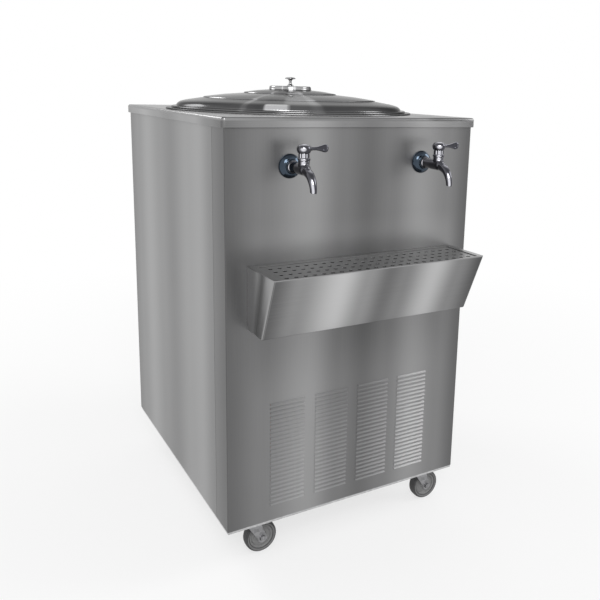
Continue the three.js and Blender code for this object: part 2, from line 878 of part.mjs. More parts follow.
function dripPlate() {
  const z = [ledgeZ + seat, ledgeZ + seat + plate.thickness];
  const { x, y } = trayWell(plate.play);
  const [length, depth] = [x[1] - x[0], y[1] - y[0]];
  const columns = 1 + Math.floor((length - 2 * plate.sideMargin) / plate.columnPitch);
  const rows = 1 + Math.floor((depth - plate.backMargin - plate.frontMargin) / plate.rowPitch);
  const hole = rod(plate.holeRadius, z[0] - overrun, z[1] + overrun, plate.holeSides);
  const holes = [];
  for (let row = 0; row < rows; row += 1) {
    const holeY = y[1] - plate.backMargin - row * plate.rowPitch;
    for (let column = 0; column < columns; column += 1) {
      const holeX = (column - (columns - 1) / 2) * plate.columnPitch;
      holes.push(hole.translate(holeX, holeY, 0));
    }
  }
  return cut(box(x, y, z), ...holes);
}
model.add(piece("drip_plate", dripPlate(), steel));

// Waste pipe: from the tray's back wall, down behind the front sheet and out through the base
function drainPipe() {
  const route = (past) =>
    bentRoute(
      [
        [drain.x, tray.backY - sheet - past, drain.z],
        [drain.x, drain.y, drain.z],
        [drain.x, drain.y, baseZ - drain.belowBase - past],
      ],
      drain.bend,
    );
  const outside = pipe(route(0), drain.radius, drain.sides);
  return cut(outside, pipe(route(overrun), drain.radius - drain.wall, drain.sides));
}
model.add(piece("drain_pipe", drainPipe(), plastic));

// Each tap is drawn about its own inlet axis, with the front sheet's outer face at y = 0. The pieces that
// turn with its upright axis have that axis at x = 0 and y = 0 in a group of their own.
const flange = { radius: 25, collarRadius: 13.5, depth: 15, wall: 2, sides: 16 };
const stem = { radius: 5, top: 37.5, port: 4.2, sides: 12 };
const bonnet = { radius: 12.5, waist: 10, height: 14 };
const lever = {
  hubRadius: 14.5,
  hubHeight: 17.5,
  gripRise: 8.2,
  length: 53,
  thinRadius: 3.6,
  thickRadius: 8.6,
  armSides: 8,
};
const backnut = { radius: 16, thickness: 6, sides: 6 };
bonnet.bottom = tap.neckTop + seat;
bonnet.top = bonnet.bottom + bonnet.height;
lever.bottom = bonnet.top + seat;

// The spout's stations: shares of its reach beyond the valve, of its drop, and of its root radius
const spout = { reach: 41.5, drop: 41, radius: 10, wall: 2.6, sides: 10 };
const spoutShares = [
  [0, 0.05, 1],
  [0.35, 0.09, 0.94],
  [0.66, 0.24, 0.88],
  [0.87, 0.49, 0.8],
  [1, 1, 0.62],
];

function spoutSolid(shrink, stretch, sides) {
  const stations = spoutShares.map(([out, down, size]) => {
    return [0, -out * spout.reach, -down * spout.drop, size * spout.radius - shrink];
  });
  stations[stations.length - 1][2] -= stretch;
  return taper(stations, sides).translate(0, -tap.reach, 0);
}

// The barrel: shares of its radius and of its length from the flange to its closed nose
const barrelShares = [
  [1, 0],
  [1, 0.78],
  [0.78, 0.94],
  [0, 1],
];

function tapBody() {
  const root = -flange.depth - seat;
  const tip = -tap.reach - tap.noseLength;
  const barrel = barrelShares.map(([r, out]) => [r * tap.barrelRadius, root + out * (tip - root)]);
  const outside = join(
    rod(tap.shankRadius, root - seat, tap.shankInside, tap.sides, "y"),
    revolve([[0, root], ...barrel], tap.sides, "y"),
    rod(tap.neckRadius, 0, tap.neckTop, tap.sides).translate(0, -tap.reach, 0),
    spoutSolid(0, 0, spout.sides),
  );
  const chamberZ = [-tap.plugDepth - seat, tap.neckTop + overrun];
  const chamber = rod(holeRound(tap.plugRadius, stem.sides), ...chamberZ, stem.sides);
  return cut(
    outside,
    chamber.translate(0, -tap.reach, 0),
    rod(tap.waterway, -tap.reach, tap.shankInside + overrun, tap.boreSides, "y"),
    spoutSolid(spout.wall, overrun, tap.boreSides),
  );
}

// The flange's dome: shares of its radius beyond the collar and of its depth
const flangeShares = [
  [1, 0],
  [0.94, 0.22],
  [0.62, 0.56],
  [0, 0.74],
];

function tapFlange() {
  const bore = holeRound(tap.shankRadius, flange.sides);
  const flare = flange.radius - flange.collarRadius;
  const dome = flangeShares.map(([r, out]) => [flange.collarRadius + r * flare, out * flange.depth]);
  const inner = flangeShares.slice(0, -1).toReversed();
  const hollow = inner.map(([r, out]) => [
    flange.collarRadius + r * flare - flange.wall,
    out * (flange.depth - flange.wall),
  ]);
  const profile = [
    ...dome,
    [flange.collarRadius, flange.depth - seat],
    [bore, flange.depth - seat],
    [bore, hollow[0][1]],
    ...hollow,
  ];
  return revolve(profile.map(([r, out]) => [r, -seat - out]), flange.sides, "y");
}

function tapStem() {
  const turned = [
    [0, -tap.plugDepth],
    [tap.plugRadius, -tap.plugDepth],
    [tap.plugRadius, tap.neckTop],
    [stem.radius, tap.neckTop],
    [stem.radius, stem.top],
    [0, stem.top],
  ];
  const across = tap.plugRadius + overrun;
  return cut(revolve(turned, stem.sides), rod(stem.port, -across, across, tap.boreSides, "x"));
}

// The bonnet's foot: shares of its radius and of its height
const bonnetShares = [
  [1, 0],
  [1, 0.28],
  [0.9, 0.36],
];

function tapBonnet() {
  const bore = holeRound(stem.radius, tap.sides);
  const foot = bonnetShares.map(([r, h]) => [r * bonnet.radius, bonnet.bottom + h * bonnet.height]);
  const profile = [
    [bore, bonnet.bottom],
    ...foot,
    [bonnet.waist, foot[foot.length - 1][1]],
    [bonnet.waist, bonnet.top],
    [bore, bonnet.top],
  ];
  return revolve(profile, tap.sides);
}

// The lever's hub: shares of its radius and of its height. Its arm: shares of its length, each with a share
// of the way from its thin radius to its thick one.
const hubShares = [
  [0.8, 0],
  [1, 0.3],
  [0.93, 0.62],
  [0.62, 0.92],
  [0, 1],
];
const armShares = [
  [0.14, 0.3],
  [0.45, 0],
  [0.78, 0.55],
  [0.94, 1],
  [1, 0.5],
];

function tapLever() {
  const dome = hubShares.map(([r, h]) => [r * lever.hubRadius, lever.bottom + h * lever.hubHeight]);
  const arm = armShares.map(([along, flare]) => [
    lever.length * along,
    0,
    lever.bottom + lever.gripRise,
    lever.thinRadius + (lever.thickRadius - lever.thinRadius) * flare,
  ]);
  const socketZ = [lever.bottom - overrun, stem.top + seat];
  const socket = rod(holeRound(stem.radius, stem.sides), ...socketZ, stem.sides);
  const hub = revolve([[0, lever.bottom], ...dome], tap.sides);
  return cut(join(hub, taper(arm, lever.armSides)), socket);
}

function tapBacknut() {
  const y = [sheet + seat, sheet + seat + backnut.thickness];
  const bore = rod(tap.holeRadius, y[0] - overrun, y[1] + overrun, tap.sides, "y");
  return cut(rod(backnut.radius, ...y, backnut.sides, "y"), bore);
}

function tapAssembly(side) {
  const whole = new THREE.Group();
  const valve = new THREE.Group();
  valve.position.set(0, -tap.reach, 0);
  valve.add(piece(side + "_tap_stem", tapStem(), chrome));
  valve.add(piece(side + "_tap_bonnet", tapBonnet(), chrome));
  valve.add(piece(side + "_tap_lever", tapLever(), chrome));
  whole.add(piece(side + "_tap_flange", tapFlange(), chrome));
  whole.add(piece(side + "_tap_body", tapBody(), chrome));
  whole.add(piece(side + "_tap_backnut", tapBacknut(), zinc));
  whole.add(valve);
  return whole;
}

const sideSigns = { left: -1, right: 1 };
for (const [side, sign] of Object.entries(sideSigns)) {
  const placed = tapAssembly(side);
  placed.position.set(sign * tap.centreX, -faceY, tap.axisZ);
  model.add(placed);
}

// Pump: a small motor and volute on a foot, in the front left corner of the base
const pump = {
  fromSide: 12,
  fromFront: 120,
  axisHeight: 48,
  motorRadius: 31,
  motorLength: 72,
  voluteRadius: 34,
  voluteLength: 24,
  portRadius: 7,
  portLength: 16,
  footWidth: 48,
  footHeight: 20,
  sides: 12,
  portSides: 8,
};
pump.y = -faceY + pump.fromFront;
pump.axisZ = pan.topZ + pump.axisHeight;
pump.motorX = -sideX + pump.fromSide;
pump.voluteX = pump.motorX + pump.motorLength;
pump.endX = pump.voluteX + pump.voluteLength;
pump.inletX = pump.endX + pump.portLength;
pump.outletX = (pump.voluteX + pump.endX) / 2;
pump.outletZ = pump.axisZ + pump.voluteRadius + pump.portLength;

function pumpSolid() {
  const bodies = join(
    rod(pump.motorRadius, pump.motorX, pump.voluteX + seat, pump.sides, "x"),
    rod(pump.voluteRadius, pump.voluteX, pump.endX, pump.sides, "x"),
    rod(pump.portRadius, pump.voluteX, pump.inletX, pump.portSides, "x"),
  );
  const outlet = rod(pump.portRadius, pump.axisZ, pump.outletZ, pump.portSides);
  const footZ = [pan.topZ + seat, pan.topZ + seat + pump.footHeight];
  return join(
    bodies.translate(0, pump.y, pump.axisZ),
    outlet.translate(pump.outletX, pump.y, 0),
    box([pump.motorX, pump.endX], span(pump.y, pump.footWidth), footZ),
  );
}
model.add(piece("juice_pump", pumpSolid(), plastic));

// Hose from the tank's outlet to the pump, and the riser and header from the pump to the taps
const hose = { radius: 8, bend: 40, drop: 60, runIn: 60, sides: 8 };

function pumpHose() {
  const corners = [
    [0, tank.centreY, tank.outletZ - seat],
    [0, tank.centreY, tank.outletZ - hose.drop],
    [pump.inletX + hose.runIn, pump.y, pump.axisZ],
    [pump.inletX + seat, pump.y, pump.axisZ],
  ];
  return pipe(bentRoute(corners, hose.bend), hose.radius, hose.sides);
}
model.add(piece("pump_inlet_hose", pumpHose(), rubber));

function tapFeed() {
  const sweepZ = pump.outletZ + feed.straight;
  const corners = [
    [pump.outletX, pump.y, pump.outletZ + seat],
    [pump.outletX, pump.y, sweepZ],
    [feed.x, feed.y, sweepZ + feed.sweep],
    [feed.x, feed.y, tap.axisZ],
    [tap.centreX + feed.endPast, feed.y, tap.axisZ],
  ];
  const socketEnd = -faceY + tap.shankInside + seat;
  const socket = rod(feed.socketRadius, socketEnd, feed.y, tap.boreSides, "y");
  return join(
    pipe(bentRoute(corners, feed.bend), feed.radius, feed.sides),
    socket.translate(-tap.centreX, 0, tap.axisZ),
    socket.translate(tap.centreX, 0, tap.axisZ),
  );
}
model.add(piece("tap_feed_pipe", tapFeed(), plastic));

// Cooling unit: the condenser behind the front louvres, then the fan in its shroud, then the compressor
const condenser = {
  fromPump: 11,
  fromSide: 95,
  depth: 44,
  height: 290,
  frontGap: 14,
  fins: 14,
  finThickness: 6,
  groove: 9,
};
condenser.x = [pump.inletX + condenser.fromPump, sideX - condenser.fromSide];
condenser.y = [-faceY + condenser.frontGap, -faceY + condenser.frontGap + condenser.depth];
condenser.z = [pan.topZ + seat, pan.topZ + seat + condenser.height];

// The fin pack seen from above: a core with a comb of fins on its front and back
function finPack() {
  const width = condenser.x[1] - condenser.x[0];
  const pitch = (width - condenser.finThickness) / (condenser.fins - 1);
  const comb = (face, root) => {
    const points = [];
    for (let i = 0; i < condenser.fins; i += 1) {
      const left = condenser.x[0] + i * pitch;
      const right = left + condenser.finThickness;
      if (i > 0) points.push([left, root]);
      points.push([left, face], [right, face]);
      if (i < condenser.fins - 1) points.push([right, root]);
    }
    return points;
  };
  const front = comb(condenser.y[0], condenser.y[0] + condenser.groove);
  const back = comb(condenser.y[1], condenser.y[1] - condenser.groove).reverse();
  return raise(polygon([...front, ...back]), ...condenser.z);
}
model.add(piece("condenser", finPack(), aluminium));

const fan = {
  openingRadius: 112,
  tipGap: 8,
  bladeCount: 5,
  bladeChord: 50,
  bladeThickness: 2.4,
  bladePitch: Math.PI / 6,
  hubRadius: 19,
  hubLength: 20,
  shaftRadius: 3,
  shaftSides: 8,
  shroudDepth: 40,
  shroudWall: 1.6,
  sides: 20,
};
fan.x = (condenser.x[0] + condenser.x[1]) / 2;
fan.z = (condenser.z[0] + condenser.z[1]) / 2;
fan.bladeRadius = fan.openingRadius - fan.tipGap;
fan.shroudY = [condenser.y[1] + seat, condenser.y[1] + seat + fan.shroudDepth];
fan.centreY = (fan.shroudY[0] + fan.shroudY[1]) / 2;

function fanShroud() {
  const inside = box(
    [condenser.x[0] + fan.shroudWall, condenser.x[1] - fan.shroudWall],
    [fan.shroudY[0] - overrun, fan.shroudY[1] - fan.shroudWall],
    [condenser.z[0] + fan.shroudWall, condenser.z[1] - fan.shroudWall],
  );
  const opening = rod(fan.openingRadius, fan.shroudY[0], fan.shroudY[1] + overrun, fan.sides, "y");
  return cut(box(condenser.x, fan.shroudY, condenser.z), inside, opening.translate(fan.x, 0, fan.z));
}
model.add(piece("fan_shroud", fanShroud(), zinc));

// The motor hangs on four arms across the shroud's opening
const motor = {
  radius: 37,
  length: 46,
  armWidth: 13,
  armThickness: 3,
  armGrip: 16,
  socketDepth: 12,
  sides: 12,
};
motor.y = fan.shroudY[1] + seat;

function fanMotor() {
  const armReach = fan.openingRadius + motor.armGrip;
  const armY = [motor.y, motor.y + motor.armThickness];
  const socketY = [motor.y - overrun, motor.y + motor.socketDepth + seat];
  const body = join(
    rod(motor.radius, motor.y, motor.y + motor.length, motor.sides, "y"),
    box([-armReach, armReach], armY, span(0, motor.armWidth)),
    box(span(0, motor.armWidth), armY, [-armReach, armReach]),
  );
  const socket = rod(holeRound(fan.shaftRadius, fan.shaftSides), ...socketY, fan.shaftSides, "y");
  return cut(body, socket).translate(fan.x, 0, fan.z);
}
model.add(piece("fan_motor", fanMotor(), blackPaint));

// Blades, hub and shaft, drawn about the fan's centre
function fanBlades() {
  const root = fan.hubRadius / 2;
  const blade = new THREE.BoxGeometry(fan.bladeThickness, fan.bladeChord, fan.bladeRadius - root);
  blade.rotateZ(Math.PI / 2 - fan.bladePitch).translate(0, 0, (fan.bladeRadius + root) / 2);
  const shaftEnd = motor.y + motor.socketDepth - fan.centreY;
  const parts = [
    rod(fan.hubRadius, -fan.hubLength / 2, fan.hubLength / 2, motor.sides, "y"),
    rod(fan.shaftRadius, 0, shaftEnd, fan.shaftSides, "y"),
  ];
  for (let i = 0; i < fan.bladeCount; i += 1) {
    parts.push(solid(blade.clone().rotateY((2 * Math.PI * i) / fan.bladeCount)));
  }
  return join(...parts);
}
const fanGroup = new THREE.Group();
fanGroup.position.set(fan.x, fan.centreY, fan.z);
fanGroup.add(piece("fan_blades", fanBlades(), plastic));
model.add(fanGroup);

// Compressor: a welded can with a seam, on a foot plate with four pads
const compressor = {
  fromSide: 220,
  aheadOfTail: 153,
  radius: 76,
  height: 172,
  footLift: 12,
  footThickness: 3,
  footLength: 224,
  footWidth: 164,
  padRadius: 13,
  padInset: 18,
  portRadius: 5,
  portOut: 26,
  portHeight: 120,
  portSides: 8,
  sides: 16,
};
compressor.x = sideX - compressor.fromSide;
compressor.y = tank.centreY + coil.radius - compressor.aheadOfTail;
compressor.portZ = pan.topZ + compressor.portHeight;
compressor.portX = compressor.radius / 3;

// Shares of the can's radius and of its height
const canShares = [
  [0.78, 0],
  [0.97, 0.16],
  [0.97, 0.46],
  [1, 0.48],
  [1, 0.54],
  [0.97, 0.56],
  [0.97, 0.8],
  [0.7, 0.97],
  [0, 1],
];

function compressorSolid() {
  const foot = pan.topZ + seat + compressor.footLift;
  const can = canShares.map(([r, h]) => [r * compressor.radius, foot + h * compressor.height]);
  const footPlate = box(
    span(0, compressor.footLength),
    span(0, compressor.footWidth),
    [foot, foot + compressor.footThickness],
  );
  const pad = rod(compressor.padRadius, pan.topZ + seat, foot + seat, compressor.portSides);
  const padX = compressor.footLength / 2 - compressor.padInset;
  const padY = compressor.footWidth / 2 - compressor.padInset;
  const portEnd = compressor.radius + compressor.portOut;
  const suction = rod(compressor.portRadius, 0, portEnd, compressor.portSides, "y");
  const discharge = rod(compressor.portRadius, -portEnd, 0, compressor.portSides, "y");
  return join(
    revolve([[0, foot], ...can], compressor.sides),
    footPlate,
    pad.translate(-padX, -padY, 0),
    pad.translate(-padX, padY, 0),
    pad.translate(padX, -padY, 0),
    pad.translate(padX, padY, 0),
    suction.translate(-compressor.portX, 0, compressor.portZ),
    discharge.translate(compressor.portX, 0, compressor.portZ),
  ).translate(compressor.x, compressor.y, 0);
}
model.add(piece("compressor", compressorSolid(), blackPaint));

// Refrigerant lines: compressor to condenser, condenser through the drier to the coil, coil to compressor
const line = { radius: 4, bend: 14, run: 32, sides: 6 };
const drier = {
  radius: 11,
  length: 84,
  neck: 12,
  fromCondenser: 22,
  aboveBase: 60,
  sides: 10,
};
drier.x = condenser.x[0] - drier.fromCondenser;
drier.y = (condenser.y[0] + condenser.y[1]) / 2;
drier.z = [condenser.z[0] + drier.aboveBase, condenser.z[0] + drier.aboveBase + drier.length];

function refrigerantLine(corners) {
  return pipe(bentRoute(corners, line.bend), line.radius, line.sides);
}

function dischargeLine() {
  const start = compressor.y - compressor.radius - compressor.portOut - seat;
  const outside = condenser.x[1] + line.run;
  const entry = condenser.z[1] - line.run;
  return refrigerantLine([
    [compressor.x + compressor.portX, start, compressor.portZ],
    [compressor.x + compressor.portX, start - line.run, compressor.portZ],
    [outside, start - line.run, compressor.portZ],
    [outside, drier.y, compressor.portZ],
    [outside, drier.y, entry],
    [condenser.x[1] + seat, drier.y, entry],
  ]);
}
model.add(piece("discharge_line", dischargeLine(), copper));

function suctionLine() {
  const x = compressor.x - compressor.portX;
  const y = tank.centreY + coil.radius;
  return refrigerantLine([
    [x, compressor.y + compressor.radius + compressor.portOut + seat, compressor.portZ],
    [x, y, compressor.portZ],
    [0, y, compressor.portZ],
    [0, y, coil.tailZ - seat],
  ]);
}
model.add(piece("suction_line", suctionLine(), copper));

function filterDrier() {
  const neckBottom = drier.z[0] - drier.neck;
  const branch = box(
    [0, condenser.x[0] - seat - drier.x],
    span(0, 2 * line.radius),
    [neckBottom, neckBottom + 2 * line.radius],
  );
  const body = join(
    rod(drier.radius, ...drier.z, drier.sides),
    rod(line.radius, neckBottom, drier.z[1] + drier.neck, drier.sides),
    branch,
  );
  return body.translate(drier.x, drier.y, 0);
}
model.add(piece("filter_drier", filterDrier(), copper));

function liquidLine() {
  const level = shelf.topZ - shelf.flange - line.run;
  const y = tank.centreY + coil.returnRadius;
  return refrigerantLine([
    [drier.x, drier.y, drier.z[1] + drier.neck + seat],
    [drier.x, drier.y, level],
    [drier.x, y, level],
    [-coil.returnX, y, level],
    [-coil.returnX, y, coil.tailZ - seat],
  ]);
}
model.add(piece("liquid_line", liquidLine(), copper));

// Temperature control: a switch behind the back sheet with its knob outside
function thermostat() {
  const inside = faceY - sheet - seat;
  const shaft = rod(control.shaftRadius, inside - sheet, faceY + control.shaftOut, control.shaftSides, "y");
  const body = box(
    span(control.x, control.bodyWidth),
    [inside - control.bodyDepth, inside],
    span(control.z, control.bodyHeight),
  );
  return join(body, shaft.translate(control.x, 0, control.z));
}
model.add(piece("thermostat", thermostat(), plastic));

// The knob, drawn about its shaft with the back sheet's outer face at y = 0
function thermostatKnob() {
  const profile = [
    [0, seat],
    [control.knobRadius, seat],
    [control.knobRadius, control.skirtDepth],
    [control.gripRadius, control.skirtDepth],
    [control.gripRadius, control.knobDepth],
    [0, control.knobDepth],
  ];
  const pointer = box(
    span(0, control.pointerWidth),
    [control.knobDepth - sheet, control.knobDepth + control.pointerRise],
    [0, control.pointerLength],
  );
  const shaftRound = holeRound(control.shaftRadius, control.shaftSides);
  const socket = rod(shaftRound, -overrun, control.shaftOut + seat, control.shaftSides, "y");
  return cut(join(revolve(profile, control.sides, "y"), pointer), socket);
}
const controlGroup = new THREE.Group();
controlGroup.position.set(control.x, faceY, control.z);
controlGroup.add(piece("thermostat_knob", thermostatKnob(), plastic));
model.add(controlGroup);

// Mains inlet: a flanged socket with three pins in its recess
function powerInlet() {
  const recessFloor = faceY - inlet.recessDepth;
  const bezelY = [faceY + seat, faceY + seat + inlet.bezelDepth];
  const shell = join(
    box(span(inlet.x, inlet.width), [faceY - inlet.depth, bezelY[1]], span(inlet.z, inlet.height)),
    box(
      span(inlet.x, inlet.width + 2 * inlet.bezel),
      bezelY,
      span(inlet.z, inlet.height + inlet.bezel),
    ),
  );
  const recess = box(
    span(inlet.x, inlet.recessWidth),
    [recessFloor, bezelY[1] + overrun],
    span(inlet.z, inlet.recessHeight),
  );
  const pins = [-1, 0, 1].map((place) => {
    const drop = place === 0 ? -inlet.pinDrop : inlet.pinDrop;
    return box(
      span(inlet.x + place * inlet.pinPitch, inlet.pinWidth),
      [recessFloor - sheet, faceY - inlet.pinShort],
      span(inlet.z - drop / 2, inlet.pinHeight),
    );
  });
  return join(cut(shell, recess), ...pins);
}
model.add(piece("power_inlet", powerInlet(), plastic));

// Castors. Each is drawn about its swivel axis with the base pan's underside at z = 0 and the wheel
// trailing to +X.
const castor = {
  fromSide: 70,
  fromFront: 58,
  fromBack: 70,
  treadWidth: 24,
  treadDrop: 3,
  rimDepth: 9.5,
  webWidth: 8,
  hubWidth: 27,
  hubRadius: 10,
  trail: 28,
  boltRadius: 4,
  headRadius: 7,
  headThickness: 4,
  boltSides: 6,
  plateLength: 74,
  plateWidth: 60,
  plateThickness: 2.6,
  holeRadius: 4,
  holeInset: 10,
  holeSides: 5,
  raceRadius: 20,
  raceDepth: 5.5,
  pinRadius: 5,
  pinHeadRadius: 9,
  pinHeadDepth: 3,
  pinSides: 8,
  crownRadius: 24,
  crownThickness: 2.8,
  legHalf: 18,
  legFoot: 11,
  legThickness: 2.6,
  legGap: 0.8,
  crownSides: 12,
  wheelSides: 16,
};
castor.axleZ = wheelRadius - baseZ;
castor.plateUnder = -seat - castor.plateThickness;
castor.raceUnder = castor.plateUnder - castor.raceDepth;
castor.crownTop = castor.raceUnder - seat;
castor.crownUnder = castor.crownTop - castor.crownThickness;
castor.legInner = castor.hubWidth / 2 + castor.legGap;
castor.legOuter = castor.legInner + castor.legThickness;

// The top plate carries a race and a kingpin, whose head holds the fork's crown up
function castorPlate() {
  const z = [castor.plateUnder, -seat];
  const hole = rod(castor.holeRadius, z[0] - overrun, z[1] + overrun, castor.holeSides);
  const x = castor.plateLength / 2 - castor.holeInset;
  const y = castor.plateWidth / 2 - castor.holeInset;
  const flat = cut(
    box(span(0, castor.plateLength), span(0, castor.plateWidth), z),
    hole.translate(x, y, 0),
    hole.translate(x, -y, 0),
    hole.translate(-x, y, 0),
    hole.translate(-x, -y, 0),
  );
  const headTop = castor.crownUnder - seat;
  const kingpin = [
    [0, headTop - castor.pinHeadDepth],
    [castor.pinHeadRadius, headTop - castor.pinHeadDepth],
    [castor.pinHeadRadius, headTop],
    [castor.pinRadius, headTop],
    [castor.pinRadius, castor.raceUnder],
    [castor.raceRadius, castor.raceUnder],
    [castor.raceRadius, castor.plateUnder + seat],
    [0, castor.plateUnder + seat],
  ];
  return join(flat, revolve(kingpin, castor.pinSides));
}

// A fork leg seen from the side: wide under the crown and rounded about the axle
function forkLeg() {
  const leg = new THREE.Shape();
  const legTop = castor.crownTop - seat;
  leg.moveTo(-castor.legHalf, legTop);
  leg.lineTo(castor.trail - castor.legFoot, castor.axleZ);
  leg.absarc(castor.trail, castor.axleZ, castor.legFoot, Math.PI, 2 * Math.PI, false);
  leg.lineTo(castor.legHalf, legTop);
  const made = new THREE.ExtrudeGeometry(leg, {
    depth: castor.legThickness,
    bevelEnabled: false,
    curveSegments: 4,
  });
  return solid(made.rotateX(Math.PI / 2));
}

function castorFork() {
  const across = castor.legOuter + overrun;
  const axleRound = holeRound(castor.boltRadius, castor.boltSides);
  const axleHole = rod(axleRound, -across, across, castor.boltSides, "y");
  const pinZ = [castor.crownUnder - overrun, castor.crownTop + overrun];
  const pinHole = rod(holeRound(castor.pinRadius, castor.pinSides), ...pinZ, castor.pinSides);
  return cut(
    join(
      rod(castor.crownRadius, castor.crownUnder, castor.crownTop, castor.crownSides),
      forkLeg().translate(0, castor.legOuter, 0),
      forkLeg().translate(0, -castor.legInner, 0),
    ),
    axleHole.translate(castor.trail, 0, castor.axleZ),
    pinHole,
  );
}

function castorAxle() {
  const end = castor.legOuter + seat;
  const headEnd = end + castor.headThickness;
  const turned = [
    [0, -headEnd],
    [castor.headRadius, -headEnd],
    [castor.headRadius, -end],
    [castor.boltRadius, -end],
    [castor.boltRadius, end],
    [castor.headRadius, end],
    [castor.headRadius, headEnd],
    [0, headEnd],
  ];
  return revolve(turned, castor.boltSides, "y").translate(castor.trail, 0, castor.axleZ);
}

// The tread is drawn to its corners, so that the flats between them lie on the wheel's radius
function castorWheel() {
  const tread = wheelRadius / Math.cos(Math.PI / castor.wheelSides);
  const rim = wheelRadius - castor.rimDepth;
  const half = [
    [holeRound(castor.boltRadius, castor.wheelSides), castor.hubWidth / 2],
    [castor.hubRadius, castor.hubWidth / 2],
    [rim, castor.webWidth / 2],
    [rim, castor.treadWidth / 2],
    [tread - castor.treadDrop, castor.treadWidth / 2],
    [tread, castor.treadWidth / 4],
  ];
  const mirrored = half.map(([r, y]) => [r, -y]).reverse();
  const wheel = revolve([...half, ...mirrored], castor.wheelSides, "y", true);
  return wheel.translate(castor.trail, 0, castor.axleZ);
}

function castorAssembly(name) {
  const whole = new THREE.Group();
  whole.add(piece(name + "_castor_plate", castorPlate(), zinc));
  whole.add(piece(name + "_castor_fork", castorFork(), zinc));
  whole.add(piece(name + "_castor_axle", castorAxle(), zinc));
  whole.add(piece(name + "_castor_wheel", castorWheel(), rubber));
  return whole;
}

const castorRows = { front: -faceY + castor.fromFront, rear: faceY - castor.fromBack };
for (const [end, y] of Object.entries(castorRows)) {
  for (const [side, sign] of Object.entries(sideSigns)) {
    const placed = castorAssembly(end + "_" + side);
    placed.position.set(sign * (sideX - castor.fromSide), y, baseZ);
    model.add(placed);
  }
}

// The outline reaches from the tray's front edge to the knob on the back: its middle goes over the origin
const frontmost = tray.backY - tray.topReach;
const rearmost = faceY + control.knobDepth + control.pointerRise;
model.position.y = -(frontmost + rearmost) / 2;
const dispenser = new THREE.Group();
dispenser.add(model);

export default dispenser;
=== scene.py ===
import math

import bmesh
import bpy
from mathutils import Matrix, Vector


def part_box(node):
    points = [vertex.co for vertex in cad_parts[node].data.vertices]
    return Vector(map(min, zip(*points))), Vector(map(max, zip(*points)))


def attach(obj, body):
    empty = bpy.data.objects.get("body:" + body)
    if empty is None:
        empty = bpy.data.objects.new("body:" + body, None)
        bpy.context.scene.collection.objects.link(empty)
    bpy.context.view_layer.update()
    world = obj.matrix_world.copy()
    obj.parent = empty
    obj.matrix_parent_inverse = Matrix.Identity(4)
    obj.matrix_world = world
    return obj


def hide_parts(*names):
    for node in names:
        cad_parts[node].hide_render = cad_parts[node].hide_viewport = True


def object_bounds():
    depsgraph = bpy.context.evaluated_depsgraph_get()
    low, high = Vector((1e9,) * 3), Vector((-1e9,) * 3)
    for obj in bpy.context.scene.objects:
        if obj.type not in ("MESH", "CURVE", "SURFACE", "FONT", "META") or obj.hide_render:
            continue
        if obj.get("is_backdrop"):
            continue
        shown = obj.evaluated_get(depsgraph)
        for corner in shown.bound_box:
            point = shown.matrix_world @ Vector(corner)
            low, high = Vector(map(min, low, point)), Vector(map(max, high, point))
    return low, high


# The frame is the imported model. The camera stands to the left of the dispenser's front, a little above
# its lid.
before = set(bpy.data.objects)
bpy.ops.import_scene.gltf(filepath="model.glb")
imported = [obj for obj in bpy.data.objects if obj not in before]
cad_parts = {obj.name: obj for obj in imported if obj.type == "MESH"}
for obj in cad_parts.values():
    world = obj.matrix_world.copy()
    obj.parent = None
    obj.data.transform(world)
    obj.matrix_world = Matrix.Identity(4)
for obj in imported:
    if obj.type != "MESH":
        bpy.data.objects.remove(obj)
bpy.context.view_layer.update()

CAMERA_PLACE = (-0.7859, -1.5873, 1.0371)
CAMERA_AZIMUTH = math.radians(-31.55)
CAMERA_ELEVATION = math.radians(11.9)
CAMERA_ROLL = math.radians(1.7)


def add_object(name, data):
    made = bpy.data.objects.new(name, data)
    bpy.context.scene.collection.objects.link(made)
    return made


camera = add_object("camera", bpy.data.cameras.new("camera"))
bpy.context.scene.camera = camera
camera.data.lens = 42.87
camera.data.sensor_width = 36
camera.data.shift_x = camera.data.shift_y = -0.1
camera.matrix_world = (
    Matrix.Translation(CAMERA_PLACE)
    @ Matrix.Rotation(CAMERA_AZIMUTH, 4, "Z")
    @ Matrix.Rotation(math.pi / 2 - CAMERA_ELEVATION, 4, "X")
    @ Matrix.Rotation(CAMERA_ROLL, 4, "Z")
)

bpy.context.scene.view_settings.view_transform = "Standard"


